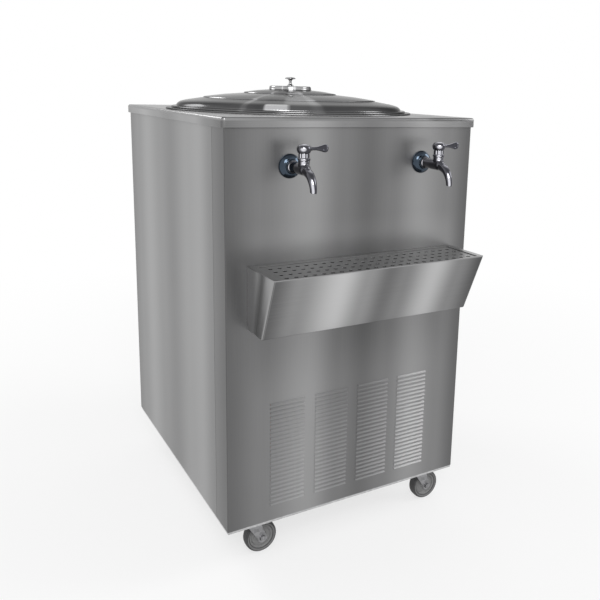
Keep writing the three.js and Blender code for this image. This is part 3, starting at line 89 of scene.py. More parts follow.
# Studio: a pale floor that fades into a white surround, a grey ceiling over it, and three soft lamps.
# The floor still takes the shadow, because only a part of its white is its own light.
class Field:
    """A value that varies over a surface: a node's output, which can be reckoned with as a number is."""

    def __init__(self, tree, socket):
        self.tree = tree
        self.socket = socket

    def node(self, kind, settings, sockets, output=0):
        made = self.tree.nodes.new("ShaderNode" + kind)
        for key, value in settings.items():
            if key == "stops":
                ramp = made.color_ramp
                ramp.interpolation = "EASE"
                while len(ramp.elements) < len(value):
                    ramp.elements.new(0.5)
                for element, (position, grey) in zip(ramp.elements, value):
                    element.position = position
                    element.color = (grey, grey, grey, 1)
            else:
                setattr(made, key, value)
        for key, value in sockets.items():
            self.feed(made, key, value)
        return Field(self.tree, made.outputs[output])

    def feed(self, made, key, value):
        if isinstance(value, Field):
            self.tree.links.new(value.socket, made.inputs[key])
        else:
            made.inputs[key].default_value = value

    def math(self, operation, first, second=0.0):
        return self.node("Math", {"operation": operation}, {0: first, 1: second})

    def __add__(self, other):
        return self.math("ADD", self, other)

    __radd__ = __add__

    def __sub__(self, other):
        return self.math("SUBTRACT", self, other)

    def __rsub__(self, other):
        return self.math("SUBTRACT", other, self)

    def __mul__(self, other):
        return self.math("MULTIPLY", self, other)

    __rmul__ = __mul__

    def __truediv__(self, other):
        return self.math("DIVIDE", self, other)

    def __pow__(self, power):
        return self.math("POWER", self, power)

    def __abs__(self):
        return self.math("ABSOLUTE", self)

    def stretched(self, scale):
        """These coordinates, multiplied by one number for each axis"""
        return self.node("VectorMath", {"operation": "MULTIPLY"}, {0: self, 1: scale})

    def part(self, axis):
        return self.node("SeparateXYZ", {}, {0: self}, output="XYZ".index(axis))

    def noise(self, scale, detail=2.0, roughness=0.5):
        sockets = {"Vector": self, "Scale": scale, "Detail": detail, "Roughness": roughness}
        return self.node("TexNoise", {}, sockets)

    def between(self, low, high):
        """0 below one value of this field and 1 above another, with a soft step between them"""
        sockets = {0: self, 1: low, 2: high, 3: 0.0, 4: 1.0}
        return self.node("MapRange", {"interpolation_type": "SMOOTHSTEP"}, sockets)

    def within(self, rise, fall):
        """1 from one soft step to another and 0 outside them. Each step is given by its two ends."""
        return self.between(*rise) * (1 - self.between(*fall))

    def bands(self, low, high, stops):
        """Soft bands of tone, by where this field lies between two values"""
        sockets = {0: self.node("MapRange", {}, {0: self, 1: low, 2: high, 3: 0.0, 4: 1.0})}
        return self.node("ValToRGB", {"stops": stops}, sockets)

    def blend(self, dark, bright):
        """The colour that this field's share of the way from one colour to another gives"""
        sockets = {0: self, 6: dark, 7: bright}
        return self.node("Mix", {"data_type": "RGBA"}, sockets, output=2)


def rgb(red, green, blue):
    return (red, green, blue, 1.0)


WHITE = rgb(1, 1, 1)
CEILING_GREY = rgb(0.60, 0.60, 0.61)
ROOM_LIGHT = rgb(0.62, 0.62, 0.62)
FLOOR_PAINT = rgb(0.9, 0.9, 0.9)
FLOOR_REACH = 30
FLOOR_OWN_LIGHT = 0.66


def seen_rays(tree, *kinds):
    """1 for the kinds of ray that see a surface, and 0 for those that only carry its light"""
    outputs = Field(tree, None).node("LightPath", {}, {}).socket.node.outputs
    total = 0.0
    for kind in kinds:
        total = total + Field(tree, outputs["Is " + kind + " Ray"])
    return total.math("MINIMUM", total, 1.0)


world = bpy.data.worlds.new("studio")
bpy.context.scene.world = world
world.use_nodes = True
surround = Field(world.node_tree, None)
skyward = surround.node("TexCoord", {}, {}).part("Z")
ceiling = skyward.between(0.62, 0.9).blend(WHITE, CEILING_GREY)
room_seen = seen_rays(world.node_tree, "Camera", "Glossy", "Transmission")
surround.feed(world.node_tree.nodes["Background"], "Color", room_seen.blend(ROOM_LIGHT, ceiling))


def oblong(low_x, low_y, high_x, high_y):
    return [(low_x, low_y), (high_x, low_y), (high_x, high_y), (low_x, high_y)]


floor_mesh = bpy.data.meshes.new("floor")
floor_corners = oblong(-FLOOR_REACH, -FLOOR_REACH, FLOOR_REACH, FLOOR_REACH)
floor_mesh.from_pydata([(x, y, 0) for x, y in floor_corners], [], [(0, 1, 2, 3)])
floor = add_object("floor", floor_mesh)
floor_paint = bpy.data.materials.new("floor paint")
floor_paint.use_nodes = True
floor_paint.node_tree.nodes.clear()
ground = Field(floor_paint.node_tree, None)
floor_place = ground.node("TexCoord", {}, {}, output=3)
away = ground.node("VectorMath", {"operation": "LENGTH"}, {0: floor_place}, output=1)
floor_seen = seen_rays(floor_paint.node_tree, "Camera", "Glossy")
own_light = floor_seen * (FLOOR_OWN_LIGHT + (1 - FLOOR_OWN_LIGHT) * away.between(0.7, 2.6))
painted = ground.node("BsdfDiffuse", {}, {"Color": FLOOR_PAINT})
glowing = ground.node("Emission", {}, {"Color": WHITE, "Strength": 1.0})
mixed = ground.node("MixShader", {}, {0: own_light, 1: painted, 2: glowing})
floor_output = floor_paint.node_tree.nodes.new("ShaderNodeOutputMaterial")
ground.feed(floor_output, "Surface", mixed)
floor_mesh.materials.append(floor_paint)
floor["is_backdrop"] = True


def soft_lamp(name, place, aim_height, size, power):
    lamp = bpy.data.lights.new(name, "AREA")
    lamp.size, lamp.energy = size, power
    holder = add_object(name, lamp)
    holder.location = place
    towards = Vector((0, 0, aim_height)) - Vector(place)
    holder.rotation_euler = towards.to_track_quat("-Z", "Y").to_euler()


soft_lamp("front lamp", (-1.3, -3.0, 2.7), 0.6, 1.5, 50)
soft_lamp("right lamp", (3.0, -1.4, 2.2), 0.5, 1.4, 34)
soft_lamp("rear lamp", (-1.6, 2.8, 2.6), 0.6, 1.4, 34)


# Steel sheets of the cabinet: brushed stainless, folded, with the grain standing upright. A front that
# goes round both corners, two sides, and a back in two parts, held together by spot welds and rivets
# inside.
def surface(name, **steady):
    """A new finish and its coordinates. The steady values are the same all over the surface."""
    finish = bpy.data.materials.new(name)
    finish.use_nodes = True
    shader = finish.node_tree.nodes["Principled BSDF"]
    for key, value in steady.items():
        shader.inputs[key.replace("_", " ")].default_value = value
    start = Field(finish.node_tree, None)
    return finish, start.node("TexCoord", {}, {}, output=3)


def dress(finish, colour, roughness, height):
    """Links fields to a finish: its colour, its roughness, and a height in metres for the relief"""
    shader = finish.node_tree.nodes["Principled BSDF"]
    relief = height.node("Bump", {}, {"Strength": 1.0, "Distance": 1.0, "Height": height})
    for key, field in (("Base Color", colour), ("Roughness", roughness), ("Normal", relief)):
        relief.feed(shader, key, field)
    return finish


STEEL_DARK = rgb(0.100, 0.100, 0.101)
STEEL_BRIGHT = rgb(0.440, 0.440, 0.442)
UPRIGHT_GRAIN = (900, 900, 7)
LEVEL_GRAIN = (7, 900, 900)


def brushed_steel(
    name, tone_of, grain=UPRIGHT_GRAIN, roughness=0.36, dark=STEEL_DARK, bright=STEEL_BRIGHT
):
    """Stainless sheet. tone_of takes the coordinates and gives the tone, from 0 to 1, before the grain:
    painted reflection bands, painted shade and painted highlights.
    """
    finish, place = surface(name, Metallic=1.0)
    streaks = place.stretched(grain).noise(1.0, 3.0, 0.6)
    wipes = place.stretched((3, 3, 2)).noise(1.6, 3.0)
    tone = tone_of(place) + 0.10 * (streaks - 0.5) + 0.08 * (wipes - 0.5)
    colour = tone.blend(dark, bright)
    roughness = roughness + 0.16 * (streaks - 0.5) + 0.10 * (wipes - 0.5)
    return dress(finish, colour, roughness, 0.000012 * streaks)


# Painted reflection bands of the room on the sheets, by where a point lies along a side or across the front
SIDE_REFLECTION_BANDS = [
    (0, 0.16), (0.10, 0.34), (0.22, 0.66), (0.32, 0.58), (0.50, 0.27), (0.62, 0.40), (0.77, 0.62),
    (0.90, 0.38), (1, 0.20),
]
FRONT_REFLECTION_BANDS = [
    (0, 0.12), (0.13, 0.34), (0.31, 0.66), (0.44, 0.30), (0.54, 0.16), (0.64, 0.30), (0.77, 0.60),
    (0.90, 0.36), (1, 0.10),
]
panel_low, panel_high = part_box("left_side_panel")
front_low, front_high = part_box("front_panel")
LOUVRE_PROUD = 0.0036
LIP_FADE = 0.0012
RETURN_DEPTH = 0.067
BELOW_TRAY = ((0.38, 0.53), (0.56, 0.60))
ABOVE_TRAY = ((0.672, 0.70), (0.72, 0.78))


# The sides get painted reflection bands along their depth
def side_tone(place):
    return place.part("Y").bands(front_low.y + LOUVRE_PROUD, panel_high.y, SIDE_REFLECTION_BANDS)


def front_tone(place):
    """Painted reflection bands across the face. The returns are painted darker towards the corners as
    painted shade, the tray shades the sheet below it with painted shadow, and painted light lies above it.
    """
    across, along, up = (place.part(axis) for axis in "XYZ")
    sideways = abs(across)
    face = across.bands(front_low.x, front_high.x, FRONT_REFLECTION_BANDS)
    corner = front_low.y + LOUVRE_PROUD
    returned = 0.04 + 0.15 * along.between(corner, corner + RETURN_DEPTH)
    on_return = sideways.between(front_high.x - 0.0016, front_high.x - 0.0006)
    tone = face + on_return * (returned - face)
    # Painted highlight on the louvre lips, painted shadow below the tray, painted light above it, and a
    # little lighter towards the foot
    lip_highlight = (corner - 0.0002 - along).between(0.0, LIP_FADE)
    shaded = up.within(*BELOW_TRAY) * (1 - sideways.between(0.20, 0.29))
    lit = up.within(*ABOVE_TRAY) * (1 - sideways.between(0.22, 0.30))
    foot = 1 - up.between(0.15, 0.50)
    return tone - 0.14 * shaded + 0.11 * lit + 0.10 * lip_highlight + 0.03 * foot


front_finish = brushed_steel("brushed steel front", front_tone)
side_finish = brushed_steel("brushed steel sides", side_tone)


# Painted reflection bands across the back, a little darker, and a painted highlight on the louvre lips
def back_tone(place):
    lip_highlight = (place.part("Y") - (panel_high.y + LOUVRE_PROUD / 2)).between(0.0, LIP_FADE)
    return place.part("X").bands(panel_low.x, -panel_low.x, SIDE_REFLECTION_BANDS) - 0.08 + 0.3 * lip_highlight


back_finish = brushed_steel("brushed steel back", back_tone)


def finish_node(finish, *names):
    """Gives CAD nodes that keep their shape a finish"""
    for name in names:
        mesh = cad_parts[name].data
        mesh.materials.clear()
        mesh.materials.append(finish)


finish_node(front_finish, "front_panel")
finish_node(side_finish, "left_side_panel", "right_side_panel")
finish_node(back_finish, "back_panel", "rear_cover")


# Top plate: one brushed sheet pressed down over the panels, with a rolled edge and a hemmed skirt all
# round, and a round hole for the tank. It lies on the cabinet's panels.
LARGEST_SHARE = 0.48


def eased_corner(start, corner, end, steps):
    """Points of a curve that leaves one side of a corner and meets the other"""
    shares = [k / steps for k in range(steps + 1)]
    return [start * (1 - s) ** 2 + corner * (2 * s * (1 - s)) + end * s**2 for s in shares]


def softened(outline, reach, steps=4):
    """A closed outline whose corners are eased. A third number of a corner is its own reach."""
    made = []
    for i, corner in enumerate(outline):
        point = Vector(corner[:2])
        own = corner[2] if len(corner) > 2 else reach
        if own == 0:
            made.append(point)
            continue
        ends = []
        for neighbour in (outline[i - 1], outline[(i + 1) % len(outline)]):
            side = Vector(neighbour[:2]) - point
            ends.append(point + side.normalized() * min(own, LARGEST_SHARE * side.length))
        made += eased_corner(ends[0], point, ends[1], steps)
    return made


def smooth_object(name, data, place):
    for face in data.polygons:
        face.use_smooth = True
    made = add_object(name, data)
    made.matrix_world = place
    return made


def show(name, mesh, place=Matrix.Identity(4), crease=38):
    """Makes a smooth shaded object of a mesh, with the edges sharper than the crease angle kept sharp"""
    bmesh.ops.recalc_face_normals(mesh, faces=mesh.faces)
    data = bpy.data.meshes.new(name)
    mesh.to_mesh(data)
    mesh.free()
    made = smooth_object(name, data, place)
    data.set_sharp_from_angle(angle=math.radians(crease))
    return made


def circle(radius, height, sides):
    """The points of a round outline about the Z axis. On the axis it is a single point."""
    turns = [2 * math.pi * k / sides for k in range(sides if radius > 1e-7 else 1)]
    return [Vector((radius * math.cos(t), radius * math.sin(t), height)) for t in turns]


def add_ring(mesh, points, place=Matrix.Identity(4)):
    return [mesh.verts.new(place @ point) for point in points]


def skin(mesh, rings, capped=False):
    """Bands of faces from ring to ring, of which any may be a single vertex, and a face on either end"""
    for first, second in zip(rings, rings[1:]):
        sides = max(len(first), len(second))
        for k in range(sides):
            ends = (k, (k + 1) % sides)
            corners = [first[i % len(first)] for i in ends]
            corners += [second[i % len(second)] for i in reversed(ends)]
            corners = list(dict.fromkeys(corners))
            if len(corners) > 2:
                mesh.faces.new(corners)
    if capped:
        mesh.faces.new(rings[0])
        mesh.faces.new(rings[-1])


def fill(mesh, rings):
    """Flat faces between an outline and the outlines of the holes in it"""
    pairs = [pair for ring in rings for pair in zip(ring, ring[1:] + ring[:1])]
    edges = [mesh.edges.get(pair) or mesh.edges.new(pair) for pair in pairs]
    bmesh.ops.triangle_fill(mesh, edges=edges, use_beauty=True, use_dissolve=False)


def mount_piece(piece, finish, body, slot, *nodes):
    """Gives a new piece its finish, its CAD body and the CAD nodes that it stands for"""
    piece.data.materials.clear()
    piece.data.materials.append(finish)
    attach(piece, body)
    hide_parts(*nodes)
    return piece


SHEET = 0.0012
ROLL = 0.0055
ROLL_STEPS = 5
TOP_CORNER = 0.008
TIGHTEST_CORNER = 0.0015
TANK_SIDES = 144
TANK_HOLE = 0.2518
top_low, top_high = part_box("top_plate")
tank_low, tank_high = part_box("juice_tank")
tank_axis = Vector(((tank_low.x + tank_high.x) / 2, (tank_low.y + tank_high.y) / 2, 0))
tank_place = Matrix.Translation(tank_axis)


def plate_ring(mesh, box, inset, radius, z, steps):
    """A box's outline at a height, moved inwards by an inset, with round corners"""
    half, middle = (box[1] - box[0]) / 2, (box[0] + box[1]) / 2
    points = []
    for quarter, (sx, sy) in enumerate(((1, 1), (-1, 1), (-1, -1), (1, -1))):
        for k in range(steps + 1):
            turn = math.pi / 2 * (quarter + k / steps)
            x = middle.x + sx * (half.x - inset - radius) + radius * math.cos(turn)
            y = middle.y + sy * (half.y - inset - radius) + radius * math.sin(turn)
            points.append(Vector((x, y, z)))
    return add_ring(mesh, points)


def make_top_plate():
    mesh = bmesh.new()
    top, skirt = top_high.z, top_low.z
    inner = ROLL - SHEET
    turns = [k / ROLL_STEPS * math.pi / 2 for k in range(ROLL_STEPS + 1)]
    outside = [(ROLL * (1 - math.cos(t)), top - ROLL + ROLL * math.sin(t)) for t in turns]
    inside = [(ROLL - inner * math.cos(t), top - ROLL + inner * math.sin(t)) for t in reversed(turns)]
    hem = [(SHEET, skirt + SHEET / 2), (SHEET / 2, skirt), (0, skirt + SHEET / 2)]
    rings = []
    for inset, z in (*inside, *hem, *outside):
        radius = max(TOP_CORNER - inset, TIGHTEST_CORNER)
        rings.append(plate_ring(mesh, (top_low, top_high), inset, radius, z, 6))
    skin(mesh, rings)
    heights = (top - SHEET, top)
    holes = [add_ring(mesh, circle(TANK_HOLE, z, TANK_SIDES), tank_place) for z in heights]
    skin(mesh, holes)
    fill(mesh, [rings[0], holes[0]])
    fill(mesh, [rings[-1], holes[1]])
    return show("top_sheet", mesh)


TOP_REFLECTION_BANDS = [(0.0, 0.28), (0.2, 0.36), (0.34, 0.52), (0.5, 0.50), (0.72, 0.28), (1.0, 0.40)]
DARK_REFLECTION_BAND = ((0.16, 0.20), (0.27, 0.30))


def top_tone(place):
    """The flat sheet has slanting painted reflection bands and a painted dark reflection band across them.
    The skirt goes with the panels, and the rolled edge at the sides gets painted shade.
    """
    across, along, up = (place.part(axis) for axis in "XYZ")
    sideways = abs(across)
    flat = (across * 0.8 - along * 0.6).bands(-0.45, 0.45, TOP_REFLECTION_BANDS)
    flat = flat - 0.3 * across.within(*DARK_REFLECTION_BAND)
    on_side = sideways.between(top_high.x - 0.004, top_high.x - 0.001)
    skirt = across.bands(top_low.x, top_high.x, FRONT_REFLECTION_BANDS) + 0.14
    skirt = skirt + on_side * (side_tone(place) - skirt)
    down = (top_high.z - ROLL - up).between(0.0, 0.003)
    # Painted shade on the rolled edge at the sides
    roll = up.between(top_high.z - ROLL, top_high.z) * (1 - down)
    roll = roll * sideways.between(top_high.x - 2 * ROLL, top_high.x)
    return flat + down * (skirt - flat) - 0.45 * roll


top_finish = brushed_steel("brushed steel top", top_tone, LEVEL_GRAIN, 0.30)
mount_piece(make_top_plate(), top_finish, "cabinet", "brushed_steel", "top_plate")


# Juice tank: a drum of polished stainless sunk into the cabinet, with a dished floor, a drain stub in
# its middle and a rolled flange that lies on the top plate. It is spun and welded from one thickness of
# sheet.
def add_turned(mesh, outline, sides, place=Matrix.Identity(4)):
    """Adds the solid that an outline of radius and height makes when it is turned round Z"""
    rings = [add_ring(mesh, circle(radius, height, sides), place) for radius, height in outline]
    if len(rings[0]) > 1 and len(rings[-1]) > 1:
        rings.append(rings[0])
    skin(mesh, rings)


def turned(name, outline, sides, place):
    mesh = bmesh.new()
    add_turned(mesh, outline, sides)
    return show(name, mesh, place)


def mm(points):
    """Points in millimetres as points in metres"""
    return [tuple(value / 1000 for value in point) for point in points]


tank_outline = mm([
    (10, 480.4, 0.4), (10, 550, 2), (205, 558, 20), (239, 566, 18), (250, 592, 20), (250, 983.5, 4.5),
    (298, 983.5, 2), (298, 980.3, 0.3), (296.8, 980.3, 0.3), (296.8, 982.3, 0.8), (251.2, 982.3, 3),
    (251.2, 592, 20), (240, 565, 18), (205.5, 556.8, 20), (11.6, 548.8, 2), (11.6, 480.4, 0.4),
])
POLISHED_DARK = rgb(0.045, 0.045, 0.046)
POLISHED_BRIGHT = rgb(0.80, 0.80, 0.805)


def spun_steel(name, tone_of, roughness):
    """Polished sheet with the fine rings of the lathe. tone_of takes the distance from the axis and the
    angle round it, and gives the tone, from 0 to 1, before the rings: painted reflections, painted
    highlights and painted shade."""
    finish, place = surface(name, Metallic=1.0, Specular_Tint=rgb(0.4, 0.4, 0.4))
    x, y, z = (place.part(axis) for axis in "XYZ")
    radius = (x * x + y * y) ** 0.5
    rings = radius.node("CombineXYZ", {}, {0: radius, 1: z}).noise(900.0, 2.0)
    smears = place.noise(8.4, 3.0)
    tone = tone_of(radius, y.math("ARCTAN2", y, x)) + 0.10 * (rings - 0.5) + 0.10 * (smears - 0.5)
    colour = tone.blend(POLISHED_DARK, POLISHED_BRIGHT)
    roughness = roughness + 0.08 * (rings - 0.5) + 0.10 * (smears - 0.5)
    return dress(finish, colour, roughness, 0.000010 * rings)


def fans_of(angle, stops):
    """Painted fans of light, as the lathe's rings throw them, once round the axis"""
    return angle.bands(-math.pi, math.pi, stops)


TANK_REFLECTION_FANS = [(0.0, 0.20), (0.2, 0.34), (0.4, 0.16), (0.6, 0.3), (0.8, 0.18), (1.0, 0.20)]


def tank_tone(radius, angle):
    """Painted reflection fans round the axis. The flange is darker towards its edge."""
    return fans_of(angle, TANK_REFLECTION_FANS) - 0.12 * radius.between(0.2835, 0.2985)


tank_finish = spun_steel("polished steel tank", tank_tone, 0.22)
tank_piece = turned("tank_drum", softened(tank_outline, 0), TANK_SIDES, tank_place)
mount_piece(tank_piece, tank_finish, "cabinet", "polished_steel", "juice_tank")

# Lid: a shallow dome pressed from polished stainless, with two stepped rings, a flat crown for the
# knob, a brim that lies on the tank's flange and a locating ring welded under it. It lifts off.
lid_outline = mm([
    (3.4, 1040, 0.3), (48.5, 1040, 1.6), (51, 1037.5, 1.6), (51, 1031, 3), (80, 1028.6, 8),
    (112.1, 1023.5, 0.9), (113.1, 1021.3, 0.9), (160, 1017.2, 12), (209.1, 1010.5, 0.9),
    (210.1, 1008.3, 0.9), (252, 1001.6, 9), (268, 997, 7), (274, 989.6, 4), (274, 987.8, 1.6),
    (283.6, 987.8, 1.6), (285, 985.9, 1), (285, 983.8, 0.5), (272.8, 983.8, 0.5), (272.8, 989, 3),
    (266.8, 995.2, 6), (251.6, 999.4, 8), (246.5, 1000.2, 0.3), (246.5, 974.8, 0.4), (245.3, 974.8, 0.4),
    (245.3, 1000.4, 0.3), (209.1, 1006.4, 8), (112, 1019.4, 8), (49.4, 1028.6, 2), (49.4, 1038.8, 1),
    (3.4, 1038.8, 0.3),
])
LID_REFLECTION_FANS = [
    (0, 0.42), (0.060, 0.40), (0.100, 0.42), (0.112, 0.46), (0.119, 0.98), (0.126, 0.42), (0.150, 0.32),
    (0.167, 0.34), (0.175, 0.70), (0.203, 0.74), (0.210, 0.98), (0.216, 0.92), (0.224, 0.40), (0.270, 0.34),
    (0.330, 0.20), (0.380, 0.06), (0.50, 0.08), (0.75, 0.22), (0.90, 0.40), (1, 0.42),
]
WALL_REFLECTION_PATCH = [(0.0, 0.0), (0.144, 0.0), (0.150, 1.0), (0.172, 1.0), (0.178, 0.0), (1.0, 0.0)]
RING_STEPS = (0.1121, 0.2091)
CROWN = 0.051
BRIM = 0.274


def lid_tone(radius, angle):
    """Painted reflection fans with painted highlight streaks. The dome's wall is painted dark, with a
    painted bright reflection of the room in it, the feet of the rings are painted dark as shade, and the
    crown and brim get painted highlights.
    """
    wall = radius.between(BRIM - 0.034, BRIM - 0.008)
    brim = radius.between(BRIM - 0.001, BRIM + 0.001)
    crown = 1 - radius.between(CROWN - 0.001, CROWN + 0.001)
    reflected_patch = fans_of(angle, WALL_REFLECTION_PATCH) * radius.between(BRIM - 0.024, BRIM - 0.014)
    tone = fans_of(angle, LID_REFLECTION_FANS) * (1 - 0.78 * wall) + 0.12 * crown
    for step in RING_STEPS:
        tone = tone - 0.10 * (1 - abs(radius - step).between(0.0004, 0.0028))
    return tone + 0.03 * brim + 1.3 * reflected_patch * (1 - brim)


lid_finish = spun_steel("polished steel lid", lid_tone, 0.17)
lid_piece = turned("lid_dome", softened(lid_outline, 0), TANK_SIDES, tank_place)
mount_piece(lid_piece, lid_finish, "lid", "polished_steel", "lid")

# Lid knob: turned from bright steel bar, a small mushroom on a foot. Its stud goes through the crown
# and is held by a dome nut below.
knob_outline = mm([
    (0, 1033.5, 0), (5, 1033.5, 1.2), (7, 1035, 1), (7, 1038.5, 0.6), (3, 1038.5, 0.3), (3, 1040.3, 0.2),
    (8.1, 1040.3, 0.8), (7.8, 1042.2, 1.2), (4, 1044.2, 2), (3.3, 1049, 2), (3.5, 1054, 2),
    (6.5, 1056.4, 1.6), (12.4, 1057.2, 0.9), (13, 1058.7, 0.9), (10.6, 1060.4, 1.6), (4, 1061.3, 3),
    (0, 1061.3, 0),
])
KNOB_REFLECTION_FANS = [(0.0, 0.3), (0.12, 0.8), (0.25, 0.25), (0.5, 0.62), (0.7, 0.22), (0.85, 0.7), (1.0, 0.3)]


def knob_tone(radius, angle):
    """Painted reflection fans, and painted shade on the neck under the mushroom"""
    return fans_of(angle, KNOB_REFLECTION_FANS) - 0.2 * (1 - radius.between(0.0035, 0.0075))


knob_finish = spun_steel("polished steel knob", knob_tone, 0.14)
knob_piece = turned("lid_handle", softened(knob_outline, 0), 48, tank_place)
mount_piece(knob_piece, knob_finish, "lid", "polished_steel", "lid_knob")


# Drip tray: a trough folded from brushed sheet with welded ends, hung on the front by its back wall.
# Its front leans out, its ends are creased for stiffness, and a step in its rim carries the plate.
tray_low, tray_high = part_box("drip_tray")
TRAY_REFLECTION_BANDS = [
    (0, 0.10), (0.12, 0.40), (0.30, 0.92), (0.42, 0.44), (0.52, 0.18), (0.60, 0.30), (0.75, 0.80),
    (0.88, 0.30), (1, 0.02),
]
TRAY_END_REFLECTION_BANDS = [(0.0, 0.48), (0.20, 0.58), (0.44, 0.40), (0.53, 0.60), (0.70, 1.10), (1.0, 1.15)]
TRAY_LEAN = 56 / 134
TRAY_REACH = 0.070
TRAY_RIM = 0.015
FRONT_RIM = 0.004
LEDGE_WIDTH = 0.006
LEDGE_DEPTH = 0.0034
END_CREASE = 0.0016
TRAY_CORNER = 0.005
INNER_CORNER = 0.0012
OPENING_CORNER = 0.002
CORNER_STEPS = 5
CREASE_STEPS = 12


def tray_front(z, inset):
    return tray_high.y - TRAY_REACH - (z - tray_low.z) * TRAY_LEAN + inset * math.hypot(1, TRAY_LEAN)


def tray_ring(mesh, z, radius, front, back, half, crease):
    """The trough's outline at a height: four corners, of which the front two are round, and creased ends"""
    points = []
    for k in range(CORNER_STEPS + 1):
        turn = math.pi / 2 * k / CORNER_STEPS
        points.append((half - radius + radius * math.sin(turn), front + radius - radius * math.cos(turn)))
    for k in range(1, CREASE_STEPS):
        share = k / CREASE_STEPS
        dish = crease * math.exp(-(((share - 0.5) / 0.13) ** 2))
        points.append((half - dish, front + radius + (back - front - radius) * share))
    points.append((half, back))
    mirrored = [(-x, y) for x, y in reversed(points)]
    return add_ring(mesh, [Vector((x, y, z)) for x, y in points + mirrored])


def tray_skin(mesh, z, inset, crease=END_CREASE):
    """The trough's outside at a height, moved inwards by an inset"""
    radius = max(TRAY_CORNER - inset, INNER_CORNER)
    front, back, half = tray_front(z, inset), tray_high.y - inset, tray_high.x - inset
    return tray_ring(mesh, z, radius, front, back, half, crease)


def tray_opening(mesh, z, inset):
    """The rim's inner edge at a height, moved inwards by an inset"""
    front = tray_front(tray_high.z, 0) + FRONT_RIM + inset
    back, half = tray_high.y - TRAY_RIM - inset, tray_high.x - TRAY_RIM - inset
    return tray_ring(mesh, z, OPENING_CORNER, front, back, half, 0)


def make_tray():
    mesh = bmesh.new()
    bottom, top = tray_low.z, tray_high.z
    ledge = top - LEDGE_DEPTH
    rings = [
        tray_skin(mesh, bottom, 0.0022),
        tray_skin(mesh, bottom + 0.0004, 0.0008),
        tray_skin(mesh, bottom + 0.0018, 0),
        tray_skin(mesh, top - 0.0012, 0),
        tray_skin(mesh, top - 0.0003, 0.0003),
        tray_skin(mesh, top, 0.0012, 0.0012),
        tray_opening(mesh, top, 0),
        tray_opening(mesh, ledge, 0),
        tray_opening(mesh, ledge, LEDGE_WIDTH),
        tray_opening(mesh, ledge - SHEET, LEDGE_WIDTH),
        tray_skin(mesh, ledge - SHEET, SHEET),
        tray_skin(mesh, bottom + SHEET, SHEET),
    ]
    skin(mesh, rings, capped=True)
    return show("tray_trough", mesh, crease=30)


def tray_tone(place):
    """Painted reflection bands on the front and the creased ends, an even tone on the rim, and painted
    shade inside, which is in the dark below the plate.
    """
    across, along, up = (place.part(axis) for axis in "XYZ")
    sideways = abs(across)
    front_line = tray_front(up, 0)
    face = across.bands(tray_low.x, tray_high.x, TRAY_REFLECTION_BANDS)
    end = ((along - front_line) / (tray_high.y - front_line)).bands(0.0, 1.0, TRAY_END_REFLECTION_BANDS)
    on_end = sideways.between(tray_high.x - 0.0045, tray_high.x - 0.0020)
    tone = face + on_end * (end - face)
    on_top = up.between(tray_high.z - 0.0040, tray_high.z - 0.0006)
    behind_front = (along - front_line).between(0.0004, 0.0011)
    between_ends = 1 - sideways.between(tray_high.x - 0.0028, tray_high.x - 0.0014)
    inside = behind_front * between_ends * up.between(tray_low.z + 0.0003, tray_low.z + 0.0010)
    # Painted shade on the inside below the plate
    return tone + on_top * (0.50 - tone) - 0.9 * inside * (1 - on_top)


TRAY_DARK = rgb(0.075, 0.075, 0.076)
TRAY_BRIGHT = rgb(0.60, 0.60, 0.602)
tray_finish = brushed_steel("brushed steel tray", tray_tone, LEVEL_GRAIN, 0.33, TRAY_DARK, TRAY_BRIGHT)
mount_piece(make_tray(), tray_finish, "cabinet", "brushed_steel", "drip_tray")


# Drip plate: one brushed sheet with four rows of punched holes. It lies loose on the tray's ledge and lifts
# out to be washed.
plate_low, plate_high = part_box("drip_plate")
HOLE_COLUMNS = 23
HOLE_ROWS = 4
COLUMN_PITCH = 0.020
ROW_PITCH = 0.025
BACK_MARGIN = 0.020
HOLE_RADIUS = 0.0045
HOLE_SIDES = 16
PLATE_CORNER = 0.003
EASING = 0.0003


def make_drip_plate():
    """The plate's two faces are filled round the punched holes, whose upper edges are drawn in a little"""
    mesh = bmesh.new()
    box = (plate_low, plate_high)
    low, high = plate_low.z, plate_high.z
    levels = ((low, EASING), (low + EASING, 0), (high - EASING, 0), (high, EASING))
    rims = [plate_ring(mesh, box, inset, PLATE_CORNER - inset, z, 4) for z, inset in levels]
    skin(mesh, rims)
    lower, upper = [rims[0]], [rims[-1]]
    punched = ((low, HOLE_RADIUS), (high - 0.0002, HOLE_RADIUS), (high, HOLE_RADIUS + 0.0001))
    for k in range(HOLE_ROWS * HOLE_COLUMNS):
        row, column = divmod(k, HOLE_COLUMNS)
        x = (column - (HOLE_COLUMNS - 1) / 2) * COLUMN_PITCH
        y = plate_high.y - BACK_MARGIN - row * ROW_PITCH
        place = Matrix.Translation((x, y, 0))
        rings = [add_ring(mesh, circle(radius, z, HOLE_SIDES), place) for z, radius in punched]
        skin(mesh, rings)
        lower.append(rings[0])
        upper.append(rings[-1])
    fill(mesh, lower)
    fill(mesh, upper)
    return show("drip_grid", mesh)


def plate_tone(place):
    """Painted reflection bands on the face, and painted shade on the walls of the punched holes, which are
    in the dark
    """
    face = place.part("X").bands(plate_low.x, plate_high.x, TOP_REFLECTION_BANDS) * 0.4 + 0.60
    return face * place.part("Z").between(plate_high.z - 0.00012, plate_high.z - 0.00002)


plate_finish = brushed_steel("brushed steel plate", plate_tone, LEVEL_GRAIN, 0.4)
mount_piece(make_drip_plate(), plate_finish, "drip_plate", "brushed_steel", "drip_plate")


